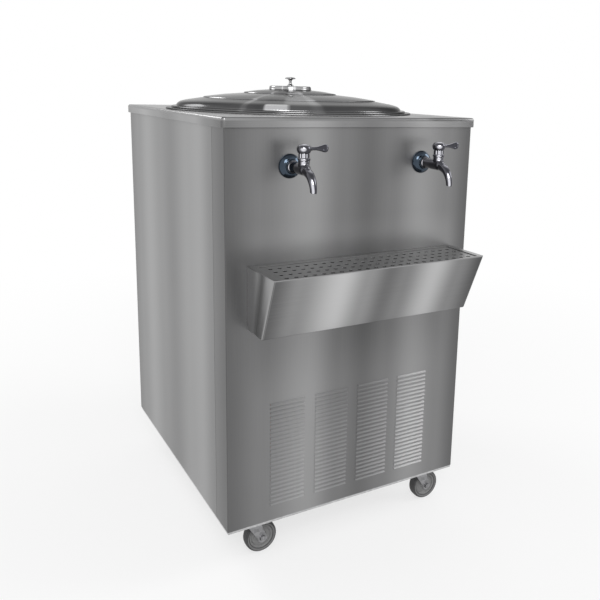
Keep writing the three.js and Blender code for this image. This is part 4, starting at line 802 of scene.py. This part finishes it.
# Taps: cast brass with bright chrome plating. A domed flange covers the hole, a short barrel carries
# the valve and a curved spout, and a lever on a fluted bonnet turns the valve a quarter of a turn.
def eased_line(stations, steps):
    """A smooth line through stations of any count of numbers"""
    line = []
    for i in range(len(stations) - 1):
        before = stations[max(i - 1, 0)]
        after = stations[min(i + 2, len(stations) - 1)]
        for k in range(steps):
            t = k / steps
            station = []
            for a, b, c, d in zip(before, stations[i], stations[i + 1], after):
                bend = 2 * b + (c - a) * t + (2 * a - 5 * b + 4 * c - d) * t**2
                station.append((bend + (3 * b - a - 3 * c + d) * t**3) / 2)
            line.append(station)
    return [*line, list(stations[-1])]


def add_swept(mesh, stations, side, sides):
    """Adds a closed skin along stations of x, y, z, width and height of its oval section"""
    centres = [Vector(station[:3]) for station in stations]
    rings = []
    for i, (*_, wide, high) in enumerate(stations):
        along = centres[min(i + 1, len(centres) - 1)] - centres[max(i - 1, 0)]
        up = side.cross(along.normalized()).normalized()
        points = [centres[i] + side * (wide * p.x) + up * (high * p.y) for p in circle(1, 0, sides)]
        rings.append(add_ring(mesh, points))
    skin(mesh, rings, capped=True)


def cast(name, mesh, place, grain, passes):
    """Melts the overlapping solids of a mesh into one skin, as a casting has it, and smooths it"""
    rough = show(name + "_rough", mesh)
    remesh = rough.modifiers.new("skin", "REMESH")
    remesh.mode, remesh.voxel_size = "VOXEL", grain
    smooth = rough.modifiers.new("polish", "SMOOTH")
    smooth.factor, smooth.iterations = 0.5, passes
    bpy.context.view_layer.update()
    melted = rough.evaluated_get(bpy.context.evaluated_depsgraph_get())
    data = bpy.data.meshes.new_from_object(melted)
    data.name = name
    bpy.data.objects.remove(rough)
    return smooth_object(name, data, place)


FORWARD = Matrix.Rotation(math.radians(90), 4, "X")
BACKWARD = Matrix.Rotation(math.radians(-90), 4, "X")
SIDEWAYS = Vector((1, 0, 0))
TAP_REACH = 0.062
CAST_GRAIN = 0.0007
LEVER_GRAIN = 0.0006


def tap_body_piece(name, place):
    mesh = bmesh.new()
    shank = mm([(0, -14), (9.5, -14), (9.5, 16), (0, 16)])
    barrel = mm([
        (0, 15.2), (12.6, 15.2), (13.2, 17), (12.6, 18.8), (10.9, 19.8), (10.9, 30), (11.4, 36), (12, 45),
        (12, 66), (11.2, 71), (8.6, 75), (4.6, 76.7), (0, 77),
    ])
    neck = mm([(0, 0), (11.0, 0), (11.0, 13.5), (11.6, 14.6), (11.6, 16.2), (10.8, 17.0), (0, 17.0)])
    add_turned(mesh, shank, 48, FORWARD)
    add_turned(mesh, softened(barrel, 0.0006, 2), 48, FORWARD)
    add_turned(mesh, neck, 48, Matrix.Translation((0, -TAP_REACH, 0)))
    outside = [
        (0, 0, 2, 10), (0, -14.5, -3.7, 9.4), (0, -27.4, -9.8, 8.8), (0, -36.1, -20.1, 8),
        (0, -40.6, -32, 6.9), (0, -41.5, -39.4, 6.5), (0, -41.5, -40.6, 6.2),
    ]
    inside = [(0, -41.5, -41.0, 3.7), (0, -41.2, -36.5, 3.6), (0, -38.9, -28.0, 3.4)]
    stations = []
    for x, y, z, radius in eased_line(mm(outside), 5) + mm(inside):
        stations.append((x, y - TAP_REACH, z, radius, radius))
    add_swept(mesh, stations, SIDEWAYS, 36)
    return cast(name, mesh, place, CAST_GRAIN, 6)


flange_outline = mm([
    (9.9, -0.3, 0.2), (25, -0.3, 0.6), (24.8, -2.6, 1.8), (22.6, -6, 4), (18.6, -9.6, 4),
    (14.6, -11.2, 1.2), (14.4, -12.4, 0.6), (13.5, -14.6, 0.8), (9.9, -14.6, 0.4),
])


FLUTES = 12
FLUTE_DEPTH = 0.0010


def fluted_rings(mesh, outline, sides, low, high, inner, sharpness):
    """An outline's rings, with flutes for the fingers between two heights, outside an inner radius"""
    turns = [2 * math.pi * k / sides for k in range(sides)]
    rings = []
    for radius, height in outline:
        depth = FLUTE_DEPTH if low < height < high and radius > inner else 0
        reaches = [radius - depth * (0.5 + 0.5 * math.cos(FLUTES * t)) ** sharpness for t in turns]
        points = [Vector((r * math.cos(t), r * math.sin(t), height)) for r, t in zip(reaches, turns)]
        rings.append(add_ring(mesh, points))
    return rings


bonnet_outline = mm([
    (5.45, 17.3, 0.2), (12.5, 17.3, 0.7), (12.5, 21, 0.7), (10.9, 22.2, 0.5), (10.9, 30.4, 0.6),
    (10.2, 31.3, 0.4), (5.45, 31.3, 0.2),
])


def bonnet_piece(name, place):
    mesh = bmesh.new()
    waist = {"low": 0.0212, "high": 0.0308, "inner": 0.009}
    rings = fluted_rings(mesh, softened(bonnet_outline, 0, 3), 96, sharpness=1, **waist)
    skin(mesh, rings + rings[:1])
    return show(name, mesh, place, 50)


stem_outline = mm([
    (0, -8.7, 0), (7.2, -8.7, 0.4), (7.2, 17, 0.4), (5, 17, 0.2), (5, 37.5, 0.6), (0, 37.5, 0),
])


DISH_MIDDLE = Vector((0.0450, 0.0398))
DISH_HALF = Vector((0.0062, 0.0048))
DISH_FLOOR = 0.70
DISH_DEPTH = 0.34


def dish_share(x, z):
    """How far a point of the lever's side is from the middle of its oval dish, as a share of the dish.
    The point is given in numbers or in fields."""
    x, z = (x - DISH_MIDDLE.x) / DISH_HALF.x, (z - DISH_MIDDLE.y) / DISH_HALF.y
    return (x * x + z * z) ** 0.5


def lever_piece(name, place):
    """A ball on the stem with a flat paddle, which widens to a round end with an oval dish in each side"""
    mesh = bmesh.new()
    hub = mm([
        (0, 31.6), (11.4, 31.6), (12.2, 32.2), (12.4, 33.4), (13.6, 35), (14.5, 38.2), (14.2, 41.6),
        (12.6, 44.9), (9.6, 47.4), (5.2, 48.8), (0, 49.1),
    ])
    add_turned(mesh, softened(hub, 0.0007, 2), 56)
    paddle = [
        (5, 0, 39.8, 4.6, 5.8), (13, 0, 39.8, 4.2, 4.8), (20, 0, 39.8, 3.6, 3.7), (28, 0, 39.8, 3.5, 3.9),
        (37, 0, 39.8, 3.7, 6), (44, 0, 39.8, 3.9, 7.9), (49, 0, 39.8, 3.7, 7.6), (52, 0, 39.8, 2.6, 5),
        (52.9, 0, 39.8, 1.2, 2.4),
    ]
    stations = eased_line(mm(paddle), 4)
    add_swept(mesh, stations, Vector((0, 1, 0)), 28)
    lever = cast(name, mesh, place, LEVER_GRAIN, 4)
    for vertex in lever.data.vertices:
        x, y, z = vertex.co
        rise = min(max((dish_share(x, z) - DISH_FLOOR) / (1 - DISH_FLOOR), 0), 1)
        vertex.co.y = y * (1 - DISH_DEPTH * (1 - rise))
    return lever


def chrome(name, dark, bright, roughness, dished=False):
    """Bright plating over a casting, with painted reflections: faces turned up or to the front's left are
    painted bright and the others dark, as the steel round them would mirror. A faint ripple and a film
    where hands reach break the shine."""
    finish, place = surface(name, Metallic=1.0)
    faced = place.node("TexCoord", {}, {}, output=1)
    facing, upward = faced.part("Y") * -0.85 - faced.part("X") * 0.52, faced.part("Z")
    lit = facing.between(0.87, 0.985)
    lit = lit.math("MAXIMUM", lit, 0.75 * upward.between(0.66, 0.92))
    if dished:
        oval = dish_share(place.part("X"), place.part("Z"))
        # Painted shade in a dark ring round each dish of the lever
        lit = lit * (1 - 0.85 * oval.within((0.62, 0.80), (0.98, 1.16)))
    film = place.noise(38.0, 3.0)
    ripple = place.noise(120.0, 2.0)
    colour = (0.85 * lit + 0.3 * (film - 0.5) + 0.03).blend(dark, bright)
    roughness = roughness + 0.05 * film.between(0.45, 0.8)
    return dress(finish, colour, roughness, 0.000012 * ripple)


CHROME_DARK, CHROME_BRIGHT = rgb(0.060, 0.060, 0.070), rgb(0.84, 0.84, 0.90)
chrome_finish = chrome("bright chrome", CHROME_DARK, CHROME_BRIGHT, 0.06)
lever_finish = chrome("lever chrome", CHROME_DARK, CHROME_BRIGHT, 0.06, dished=True)
# The flange's blue tint is a painted reflection, over the chrome's painted bright and dark faces
flange_finish = chrome("chrome with painted blue reflection", rgb(0.045, 0.060, 0.080), rgb(0.20, 0.25, 0.31), 0.09)


def zinc_plate(name, dark, bright, roughness=0.42):
    """Zinc-coated steel: a crystal pattern of flat flakes of different greys"""
    finish, place = surface(name, Metallic=1.0)
    flakes = place.node("TexVoronoi", {}, {"Vector": place, "Scale": 120.0}, output=1)
    grey = flakes.part("X")
    scuffs = place.noise(22.0, 4.0)
    colour = (0.55 * grey + 0.45 * scuffs).blend(dark, bright)
    roughness = roughness + 0.12 * (grey - 0.5) + 0.14 * (scuffs - 0.5)
    return dress(finish, colour, roughness, 0.00002 * scuffs)


zinc_finish = zinc_plate("zinc plate", rgb(0.20, 0.205, 0.21), rgb(0.42, 0.425, 0.43))
STEM_FOOT = 0.0087
SEAT_GAP = 0.0003
for side in ("left", "right"):
    tap = side + "_tap_"
    low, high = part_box(tap + "stem")
    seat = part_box(tap + "flange")[1].y + SEAT_GAP
    wall = Matrix.Translation(((low.x + high.x) / 2, seat, low.z + STEM_FOOT))
    valve = wall @ Matrix.Translation((0, -TAP_REACH, 0))
    casting = tap_body_piece(tap + "casting", wall)
    mount_piece(casting, chrome_finish, "cabinet", "chrome", tap + "body")
    cover = turned(tap + "cover", softened(flange_outline, 0), 72, wall @ BACKWARD)
    mount_piece(cover, flange_finish, "cabinet", "chrome", tap + "flange")
    bonnet = bonnet_piece(tap + "collar", valve)
    mount_piece(bonnet, chrome_finish, "cabinet", "chrome", tap + "bonnet")
    spindle = turned(tap + "spindle", softened(stem_outline, 0, 2), 48, valve)
    mount_piece(spindle, chrome_finish, side + "_valve", "chrome", tap + "stem")
    lever = lever_piece(tap + "handle", valve)
    mount_piece(lever, lever_finish, side + "_valve", "chrome", tap + "lever")
    finish_node(zinc_finish, tap + "backnut")


# Castors: grey rubber wheels with a stepped rim and a hub, each in a pressed and zinc-coated fork that
# swivels under a bolted plate. The wheel turns on a bolt.
CORNERS = [end + "_" + side for end in ("front", "rear") for side in ("left", "right")]
wheel_outline = mm([
    (4.3, 13.5, 0.3), (10, 13.5, 1.2), (11, 8, 2.5), (15, 5.2, 2), (22.5, 5, 1.5), (24, 8.6, 1.6),
    (26.6, 9.4, 0.6), (27.4, 8.4, 0.4), (28.2, 9.6, 0.4), (31, 11.4, 2), (34.3, 12, 2.2), (37, 9, 3),
    (37.5, 3, 4),
])
wheel_outline = wheel_outline + [(r, -h, own) for r, h, own in reversed(wheel_outline)]


def wheel_rubber(name):
    """Dark rubber on the tread, a paler and smoother moulding inside it, and dust on both"""
    finish, place = surface(name)
    x, y = place.part("X"), place.part("Y")
    radius = (x * x + y * y) ** 0.5
    dust = place.noise(90.0, 4.0)
    tread = radius.between(0.0272, 0.0286)
    hub = 1 - radius.between(0.0105, 0.0125)
    ring = radius.within((0.0290, 0.0300), (0.0325, 0.0335))
    tone = 0.58 - 0.48 * tread + 0.34 * ring + 0.16 * hub + 0.22 * (dust - 0.5)
    colour = tone.blend(rgb(0.022, 0.022, 0.023), rgb(0.34, 0.34, 0.34))
    roughness = 0.52 + 0.2 * tread + 0.15 * (dust - 0.5)
    return dress(finish, colour, roughness, 0.00008 * dust)


def slab(mesh, outline, low, high, place=Matrix.Identity(4)):
    """Adds an outline raised from one height to another"""
    rings = [add_ring(mesh, [Vector((x, y, z)) for x, y in outline], place) for z in (low, high)]
    skin(mesh, rings, capped=True)


def round_edges(piece, width):
    """Rounds the sharp edges of a piece"""
    bevel = piece.modifiers.new("rounded edges", "BEVEL")
    bevel.width = width
    bevel.segments = 2
    bevel.limit_method = "ANGLE"
    bevel.angle_limit = math.radians(35)
    bevel.harden_normals = True
    return piece


FORK_HALF = 0.0169
FORK_SHEET = 0.0026
FORK_TRAIL = 0.028
AXLE_HEIGHT = 0.0375
FOOT_STEPS = 12
FORK_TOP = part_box("front_left_castor_fork")[1].z


def fork_piece(name, place):
    """Two pressed legs under a dished crown. The legs narrow down to round ends that hold the axle."""
    mesh = bmesh.new()
    foot, top_half, leg_top = 0.011, 0.018, FORK_TOP - 0.0004
    leg = [(-top_half, leg_top)]
    for k in range(FOOT_STEPS + 1):
        turn = math.pi + math.pi * k / FOOT_STEPS
        leg.append((FORK_TRAIL + foot * math.cos(turn), AXLE_HEIGHT + foot * math.sin(turn)))
    leg.append((top_half, leg_top))
    for low in (-FORK_HALF, FORK_HALF - FORK_SHEET):
        slab(mesh, softened(leg, 0.003, 3), low, low + FORK_SHEET, FORWARD)
    crown = mm([(0, 2.6), (18, 2.6), (20, 2.2), (24, 0.6), (24, 0), (19, 0), (17.5, 0.6), (0, 0.6)])
    add_turned(mesh, crown, 40, Matrix.Translation((0, 0, FORK_TOP - FORK_SHEET)))
    return round_edges(show(name, mesh, place, 35), 0.0005)


rubber_finish = wheel_rubber("grey rubber")
fork_finish = zinc_plate("zinc fork", rgb(0.17, 0.17, 0.175), rgb(0.40, 0.40, 0.41), 0.4)
for corner in CORNERS:
    castor = corner + "_castor_"
    low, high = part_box(castor + "wheel")
    axle = (low + high) / 2
    hub_place = Matrix.Translation(axle) @ FORWARD
    wheel = turned(castor + "roller", softened(wheel_outline, 0, 3), 72, hub_place)
    mount_piece(wheel, rubber_finish, corner + "_wheel", "rubber", castor + "wheel")
    swivel_foot = Matrix.Translation(axle - Vector((FORK_TRAIL, 0, AXLE_HEIGHT)))
    fork = fork_piece(castor + "legs", swivel_foot)
    mount_piece(fork, fork_finish, corner + "_swivel", "zinc", castor + "fork")
    finish_node(fork_finish, castor + "plate", castor + "axle")
    round_edges(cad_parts[castor + "plate"], 0.0006)
    round_edges(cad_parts[castor + "axle"], 0.0005)


# Base pan and shelf: folded from zinc-coated sheet and hidden inside the cabinet. The pan carries the
# cooling unit and the pump, and the shelf carries the tank and its foam.
finish_node(zinc_plate("base zinc", rgb(0.42, 0.42, 0.425), rgb(0.66, 0.66, 0.665)), "base_pan")
finish_node(zinc_finish, "tank_shelf", "fan_shroud")
round_edges(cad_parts["base_pan"], 0.0004)


# Foam round the tank: poured in place on the shelf, pale yellow, with a dense skin full of small
# bubbles. It holds the tank and keeps it cold.
def foam(name):
    finish, place = surface(name)
    bubbles = place.node("TexVoronoi", {}, {"Vector": place, "Scale": 260.0})
    stain = place.noise(9.0, 4.0)
    tone = 0.5 * bubbles + 0.6 * stain
    colour = tone.blend(rgb(0.60, 0.50, 0.26), rgb(0.80, 0.73, 0.46))
    roughness = 0.8 + 0.15 * (stain - 0.5)
    return dress(finish, colour, roughness, 0.0006 * bubbles)


finish_node(foam("poured foam"), "tank_insulation")


# Pipes of the cooling circuit: drawn copper, brazed end to end and tarnished in patches. Three of them
# and a drier join the compressor, the condenser and the coil that is wound round the tank.
def copper(name):
    finish, place = surface(name, Metallic=1.0)
    tarnish = place.noise(30.0, 5.0, 0.6)
    colour = tarnish.between(0.35, 0.7).blend(rgb(0.62, 0.30, 0.17), rgb(0.28, 0.14, 0.09))
    roughness = 0.28 + 0.4 * tarnish.between(0.4, 0.8)
    return dress(finish, colour, roughness, 0.00003 * tarnish)


TANK_Y = -13
ROW = Matrix.Translation((0, tank_axis.y - TANK_Y / 1000, 0))


def rounded_line(corners, bend, steps=8):
    """A line through corners in millimetres, with each bend rounded"""
    line = [Vector(corners[0])]
    for before, corner, after in zip(corners, corners[1:], corners[2:]):
        corner = Vector(corner)
        back, on = Vector(before) - corner, Vector(after) - corner
        largest = LARGEST_SHARE * min(back.length, on.length)
        reach = min(bend / math.tan(back.angle(on) / 2), largest)
        start, end = corner + back.normalized() * reach, corner + on.normalized() * reach
        line += eased_corner(start, corner, end, steps)
    return [*line, Vector(corners[-1])]


def add_tube(mesh, line, radius, sides=16, bore=None):
    """Adds a round tube along a line in millimetres. A bore opens the last end a little way."""
    side = (line[1] - line[0]).orthogonal().normalized()
    rings = []
    for i, point in enumerate(line):
        along = (line[min(i + 1, len(line) - 1)] - line[max(i - 1, 0)]).normalized()
        side = (side - along * side.dot(along)).normalized()
        up = along.cross(side)
        spokes = [side * p.x + up * p.y for p in circle(1, 0, sides)]
        rings.append(add_ring(mesh, [(point + spoke * radius) / 1000 for spoke in spokes]))
    if bore:
        for back_by in (0, 14):
            inner = line[-1] - along * back_by
            rings.append(add_ring(mesh, [(inner + spoke * bore) / 1000 for spoke in spokes]))
    skin(mesh, rings, capped=True)


def tube_piece(name, finish, slot, node, corners, radius, bend, bore=None):
    mesh = bmesh.new()
    add_tube(mesh, rounded_line(corners, bend), radius, 16, bore)
    mount_piece(show(name, mesh, ROW, 50), finish, "cabinet", slot, node)


copper_finish = copper("drawn copper")
discharge = [
    (105.3, -7.3, 222), (105.3, -39.3, 222), (237, -39.3, 222), (237, -314, 222), (237, -314, 360.3),
    (205.3, -314, 360.3),
]
suction = [(54.7, 197.3, 222), (54.7, 248, 222), (0, 248, 222), (0, 248, 483.1)]
liquid = [(-187, -314, 258.6), (-187, -314, 449), (-187, 266, 449), (-18, 266, 449), (-18, 266, 483.1)]
for name, corners in (("discharge", discharge), ("suction", suction), ("liquid", liquid)):
    node = name + "_line"
    tube_piece(name + "_pipe", copper_finish, "copper", node, corners, 4, 14)

COIL_TURNS = 4
COIL_STEPS = 48
COIL_LOW, COIL_HIGH = 625, 937
COIL_RADIUS = 260.4
coil_line = [Vector((0, 248, height)) for height in (483.4, 560, 600)]
for k in range(COIL_TURNS * COIL_STEPS + 1):
    turn = math.pi / 2 + 2 * math.pi * k / COIL_STEPS
    height = COIL_LOW + (COIL_HIGH - COIL_LOW) * k / (COIL_TURNS * COIL_STEPS)
    x, y = COIL_RADIUS * math.cos(turn), TANK_Y + COIL_RADIUS * math.sin(turn)
    coil_line.append(Vector((x, y, height)))
ends = [(-6, 254, 943), (-14, 261, 947), (-18, 266, 940), (-18, 266, 900), (-18, 266, 483.4)]
coil_line += [Vector(point) for point in ends]
coil_mesh = bmesh.new()
add_tube(coil_mesh, coil_line, 4.5, 14)
coil_piece = show("cooling_coil", coil_mesh, ROW, 50)
mount_piece(coil_piece, copper_finish, "cabinet", "copper", "evaporator_coil")

drier_low, drier_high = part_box("filter_drier")
drier_half = (drier_high.z - drier_low.z) / 2
drier_radius = (drier_high.x - drier_low.x) / 2
drier_end = [(0, drier_half), (0.0042, drier_half), (0.0045, drier_half - 0.011)]
drier_end.append((drier_radius, drier_half - 0.022))
drier_outline = [(radius, -height) for radius, height in drier_end] + drier_end[::-1]
drier_place = Matrix.Translation((drier_low + drier_high) / 2)
drier_piece = turned("drier_can", softened(drier_outline, 0.003, 3), 32, drier_place)
mount_piece(drier_piece, copper_finish, "cabinet", "copper", "filter_drier")


# Condenser: a block of pressed aluminium fins on its tubes, brushed by the roller that packed them. It
# stands on the base pan, in the stream of the fan.
def fin_stock(name):
    finish, place = surface(name, Metallic=1.0)
    leaves = place.stretched((1600, 1, 1)).noise(1.0, 1.0)
    dust = place.noise(14.0, 4.0)
    colour = (0.6 * leaves + 0.5 * dust).blend(rgb(0.22, 0.22, 0.22), rgb(0.62, 0.62, 0.63))
    roughness = 0.4 + 0.3 * dust
    return dress(finish, colour, roughness, 0.0002 * leaves)


finish_node(fin_stock("aluminium fins"), "condenser")


# Compressor and fan motor: steel cans sprayed with black enamel. The compressor stands on four rubber
# feet, and the motor's four arms are screwed to the shroud.
def enamel(name):
    finish, place = surface(name, Coat_Weight=0.25, Coat_Roughness=0.2)
    peel = place.noise(260.0, 2.0)
    dust = place.noise(18.0, 4.0)
    colour = dust.blend(rgb(0.010, 0.010, 0.011), rgb(0.030, 0.030, 0.031))
    roughness = 0.34 + 0.25 * dust
    return dress(finish, colour, roughness, 0.00005 * peel)


enamel_finish = enamel("black enamel")
CAN_HEIGHT = 0.172
PORT_HEIGHT = 222
can_low, can_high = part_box("compressor")
can_middle = (can_low + can_high) / 2
can_outline = mm([
    (0, 0, 0), (59, 0, 6), (73.5, 24, 12), (73.7, 81.5, 1), (76, 82.6, 1), (76, 92.9, 1), (73.7, 96.3, 1),
    (73.7, 136, 16), (55, 166, 20), (0, 172, 0),
])


def compressor_piece():
    mesh = bmesh.new()
    middle = Matrix.Translation((can_middle.x, can_middle.y, can_high.z - CAN_HEIGHT))
    add_turned(mesh, softened(can_outline, 0, 5), 64, middle)
    slab(mesh, softened(oblong(-0.112, -0.082, 0.112, 0.082), 0.012), 0, 0.003, middle)
    pad = mm([(0, -12), (13, -12), (13, -8), (9.5, -6), (13, -4), (13, -0.2), (0, -0.2)])
    for x, y in oblong(-0.094, -0.064, 0.094, 0.064):
        pad_place = middle @ Matrix.Translation((x, y, 0))
        add_turned(mesh, softened(pad, 0.0008, 3), 24, pad_place)
    for x, way in ((-25.33, 1), (25.33, -1)):
        foot = Vector((can_middle.x * 1000 + x, can_middle.y * 1000, PORT_HEIGHT))
        add_tube(mesh, [foot + Vector((0, way * reach, 0)) for reach in (60, 101.7)], 5)
    return round_edges(show("cooling_compressor", mesh, crease=40), 0.0006)


mount_piece(compressor_piece(), enamel_finish, "cabinet", "black_paint", "compressor")

FAN_X, FAN_Z = 0.020, 0.2473
motor_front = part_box("fan_motor")[0].y


def motor_piece():
    mesh = bmesh.new()
    can = mm([(0, 0), (33, 0), (36, 1.5), (37, 5), (37, 40), (35, 44), (28, 46), (0, 46)])
    add_turned(mesh, softened(can, 0.0012, 3), 56, BACKWARD)
    arm = softened(oblong(-0.128, -0.0065, 0.128, 0.0065), 0.005)
    for turn in (0, 90):
        slab(mesh, arm, 0, 0.003, BACKWARD @ Matrix.Rotation(math.radians(turn), 4, "Z"))
    place = Matrix.Translation((FAN_X, motor_front, FAN_Z))
    return round_edges(show("fan_drive", mesh, place, 40), 0.0005)


mount_piece(motor_piece(), enamel_finish, "cabinet", "black_paint", "fan_motor")


# Fan: five twisted blades on a hub, pushed on the motor's shaft. It is moulded in black plastic with a
# fine spark-eroded grain, as the pump, the pipes, the dial and the mains inlet are too.
def moulded(name, dark, bright):
    finish, place = surface(name)
    grain = place.noise(1400.0, 2.0)
    scuffs = place.noise(35.0, 4.0)
    colour = scuffs.blend(dark, bright)
    roughness = 0.46 + 0.2 * (scuffs - 0.5) + 0.1 * (grain - 0.5)
    return dress(finish, colour, roughness, 0.00003 * grain)


plastic_finish = moulded("black plastic", rgb(0.012, 0.012, 0.013), rgb(0.034, 0.034, 0.036))
FAN_Y = -0.2717
BLADE_PITCH = math.radians(30)


def fan_piece():
    mesh = bmesh.new()
    hub = mm([(0, -10), (17, -10), (19, -8), (19, 10), (14, 10), (14, 6), (0, 6)])
    add_turned(mesh, softened(hub, 0.001, 3), 40, BACKWARD)
    add_turned(mesh, mm([(0, 0), (3, 0), (3, 30), (0, 30)]), 20, BACKWARD)
    for k in range(5):
        turn = math.radians(72 * k)
        out = Vector((math.sin(turn), 0, math.cos(turn)))
        across = Vector((math.cos(turn), 0, -math.sin(turn)))
        chord = across * math.cos(BLADE_PITCH) + Vector((0, 1, 0)) * math.sin(BLADE_PITCH)
        stations = []
        for r, wide in mm([(14, 11), (30, 14), (55, 17), (80, 18), (97, 16.5), (102, 12), (103.6, 6)]):
            stations.append((*(out * r), wide, 0.0010))
        add_swept(mesh, stations, chord, 20)
    return show("cooling_fan", mesh, ROW @ Matrix.Translation((FAN_X, FAN_Y, FAN_Z)), 40)


mount_piece(fan_piece(), plastic_finish, "fan", "black_plastic", "fan_blades")

# Pump: a finned motor and a volute on one foot on the base pan, with the hose of the tank on its eye
# and the riser on top.
pump_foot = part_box("juice_pump")[0].z
PUMP_BACK, PUMP_Y, PUMP_Z = -0.288, -0.230, 0.150
OUTLET_X = -0.204


def pump_piece():
    mesh = bmesh.new()
    sideways = Matrix.Translation((PUMP_BACK, PUMP_Y, PUMP_Z)) @ Matrix.Rotation(math.pi / 2, 4, "Y")
    motor = [(0, 0), (25, 0), (30, 3), (31, 8)]
    for k in range(6):
        motor += [(31, 12 + 9 * k), (31, 15 + 9 * k), (28.6, 15.6 + 9 * k), (28.6, 20.4 + 9 * k)]
    motor += [(31, 66), (31, 72.3), (0, 72.3)]
    add_turned(mesh, mm(motor), 48, sideways)
    volute = [(0, 72), (31, 72), (34, 74), (34, 93), (31, 96), (12, 96), (9, 99), (0, 99)]
    add_turned(mesh, softened(mm(volute), 0.0015, 3), 48, sideways)
    inlet = [(0, 97), (7, 97), (7, 104), (7.6, 105), (6.6, 111.8), (0, 111.8)]
    add_turned(mesh, softened(mm(inlet), 0.0004, 2), 28, sideways)
    outlet = [(0, 20), (7, 20), (7, 43), (7.6, 44), (6.6, 50), (0, 50)]
    outlet_place = Matrix.Translation((OUTLET_X, PUMP_Y, PUMP_Z))
    add_turned(mesh, softened(mm(outlet), 0.0004, 2), 28, outlet_place)
    foot = softened(oblong(PUMP_BACK, PUMP_Y - 0.024, PUMP_BACK + 0.096, PUMP_Y + 0.024), 0.004)
    slab(mesh, foot, pump_foot, pump_foot + 0.020)
    return round_edges(show("juice_pump_unit", mesh, ROW, 40), 0.0006)


mount_piece(pump_piece(), plastic_finish, "cabinet", "black_plastic", "juice_pump")

# Drain pipe, riser and header: push-fit plastic pipe. The drain leads down from the tray, and the
# header joins the two taps' shanks behind the front sheet.
drain_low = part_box("drain_pipe")[0]
drain_start = (drain_low.y - ROW.translation.y) * 1000
drain = [(240, drain_start, 564), (240, -332, 564), (240, -332, drain_low.z * 1000)]
tube_piece("waste_pipe", plastic_finish, "black_plastic", "drain_pipe", drain, 6.7, 12, 5.2)


def feed_piece():
    mesh = bmesh.new()
    riser = [(-204, -230, 200.3), (-204, -230, 244), (-250, -325, 332), (-250, -325, 883), (176, -325, 883)]
    add_tube(mesh, rounded_line(riser, 22), 6)
    for x in (-162, 162):
        socket = mm([(0, 0), (6, 0), (8.5, 4), (8.5, 10), (8.1, 10.7), (0, 10.7)])
        forward = Matrix.Translation((x / 1000, -0.325, 0.883)) @ FORWARD
        add_turned(mesh, softened(socket, 0.0006, 2), 28, forward)
    return show("juice_header", mesh, ROW, 45)


mount_piece(feed_piece(), plastic_finish, "cabinet", "black_plastic", "tap_feed_pipe")

# Thermostat, mains inlet and hose: the first two are seated in the rear sheets. The thermostat's dial
# has twelve grips and a pointer line. The rubber hose leads from the tank's stub to the pump.
DIAL_HEIGHT = 0.014
knob_low, knob_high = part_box("thermostat_knob")
dial_foot = (knob_low + knob_high) / 2
dial_foot.y = knob_high.y - DIAL_HEIGHT
dial_outline = mm([
    (0, -1.1, 0), (2.9, -1.1, 0.3), (2.9, 0, 0.2), (17, 0, 0.6), (17, 2.4, 0.8), (14.6, 3.4, 0.6),
    (13.8, 13, 1), (12.2, 14, 0.8), (0, 14, 0),
])


def dial_piece():
    mesh = bmesh.new()
    outline = softened(dial_outline, 0, 3)[1:-1]
    grip = {"low": 0.0036, "high": 0.0136, "inner": 0.011}
    skin(mesh, fluted_rings(mesh, outline, 144, sharpness=3, **grip), capped=True)
    slab(mesh, oblong(-0.0006, -0.0120, 0.0006, -0.0040), 0.0136, DIAL_HEIGHT)
    return show("thermostat_dial", mesh, Matrix.Translation(dial_foot) @ BACKWARD, 40)


mount_piece(dial_piece(), plastic_finish, "control_knob", "black_plastic", "thermostat_knob")
finish_node(plastic_finish, "thermostat", "power_inlet")
round_edges(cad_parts["thermostat"], 0.0008)
round_edges(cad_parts["power_inlet"], 0.0005)
hose_finish = moulded("black hose", rgb(0.016, 0.016, 0.017), rgb(0.05, 0.05, 0.052))
hose = [(0, TANK_Y, 480.1), (0, TANK_Y, 420.4), (-116, -230, 150), (-175.7, -230, 150)]
tube_piece("tank_hose", hose_finish, "rubber", "pump_inlet_hose", hose, 8, 40)


# The finished model's box, without the floor.
low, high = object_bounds()
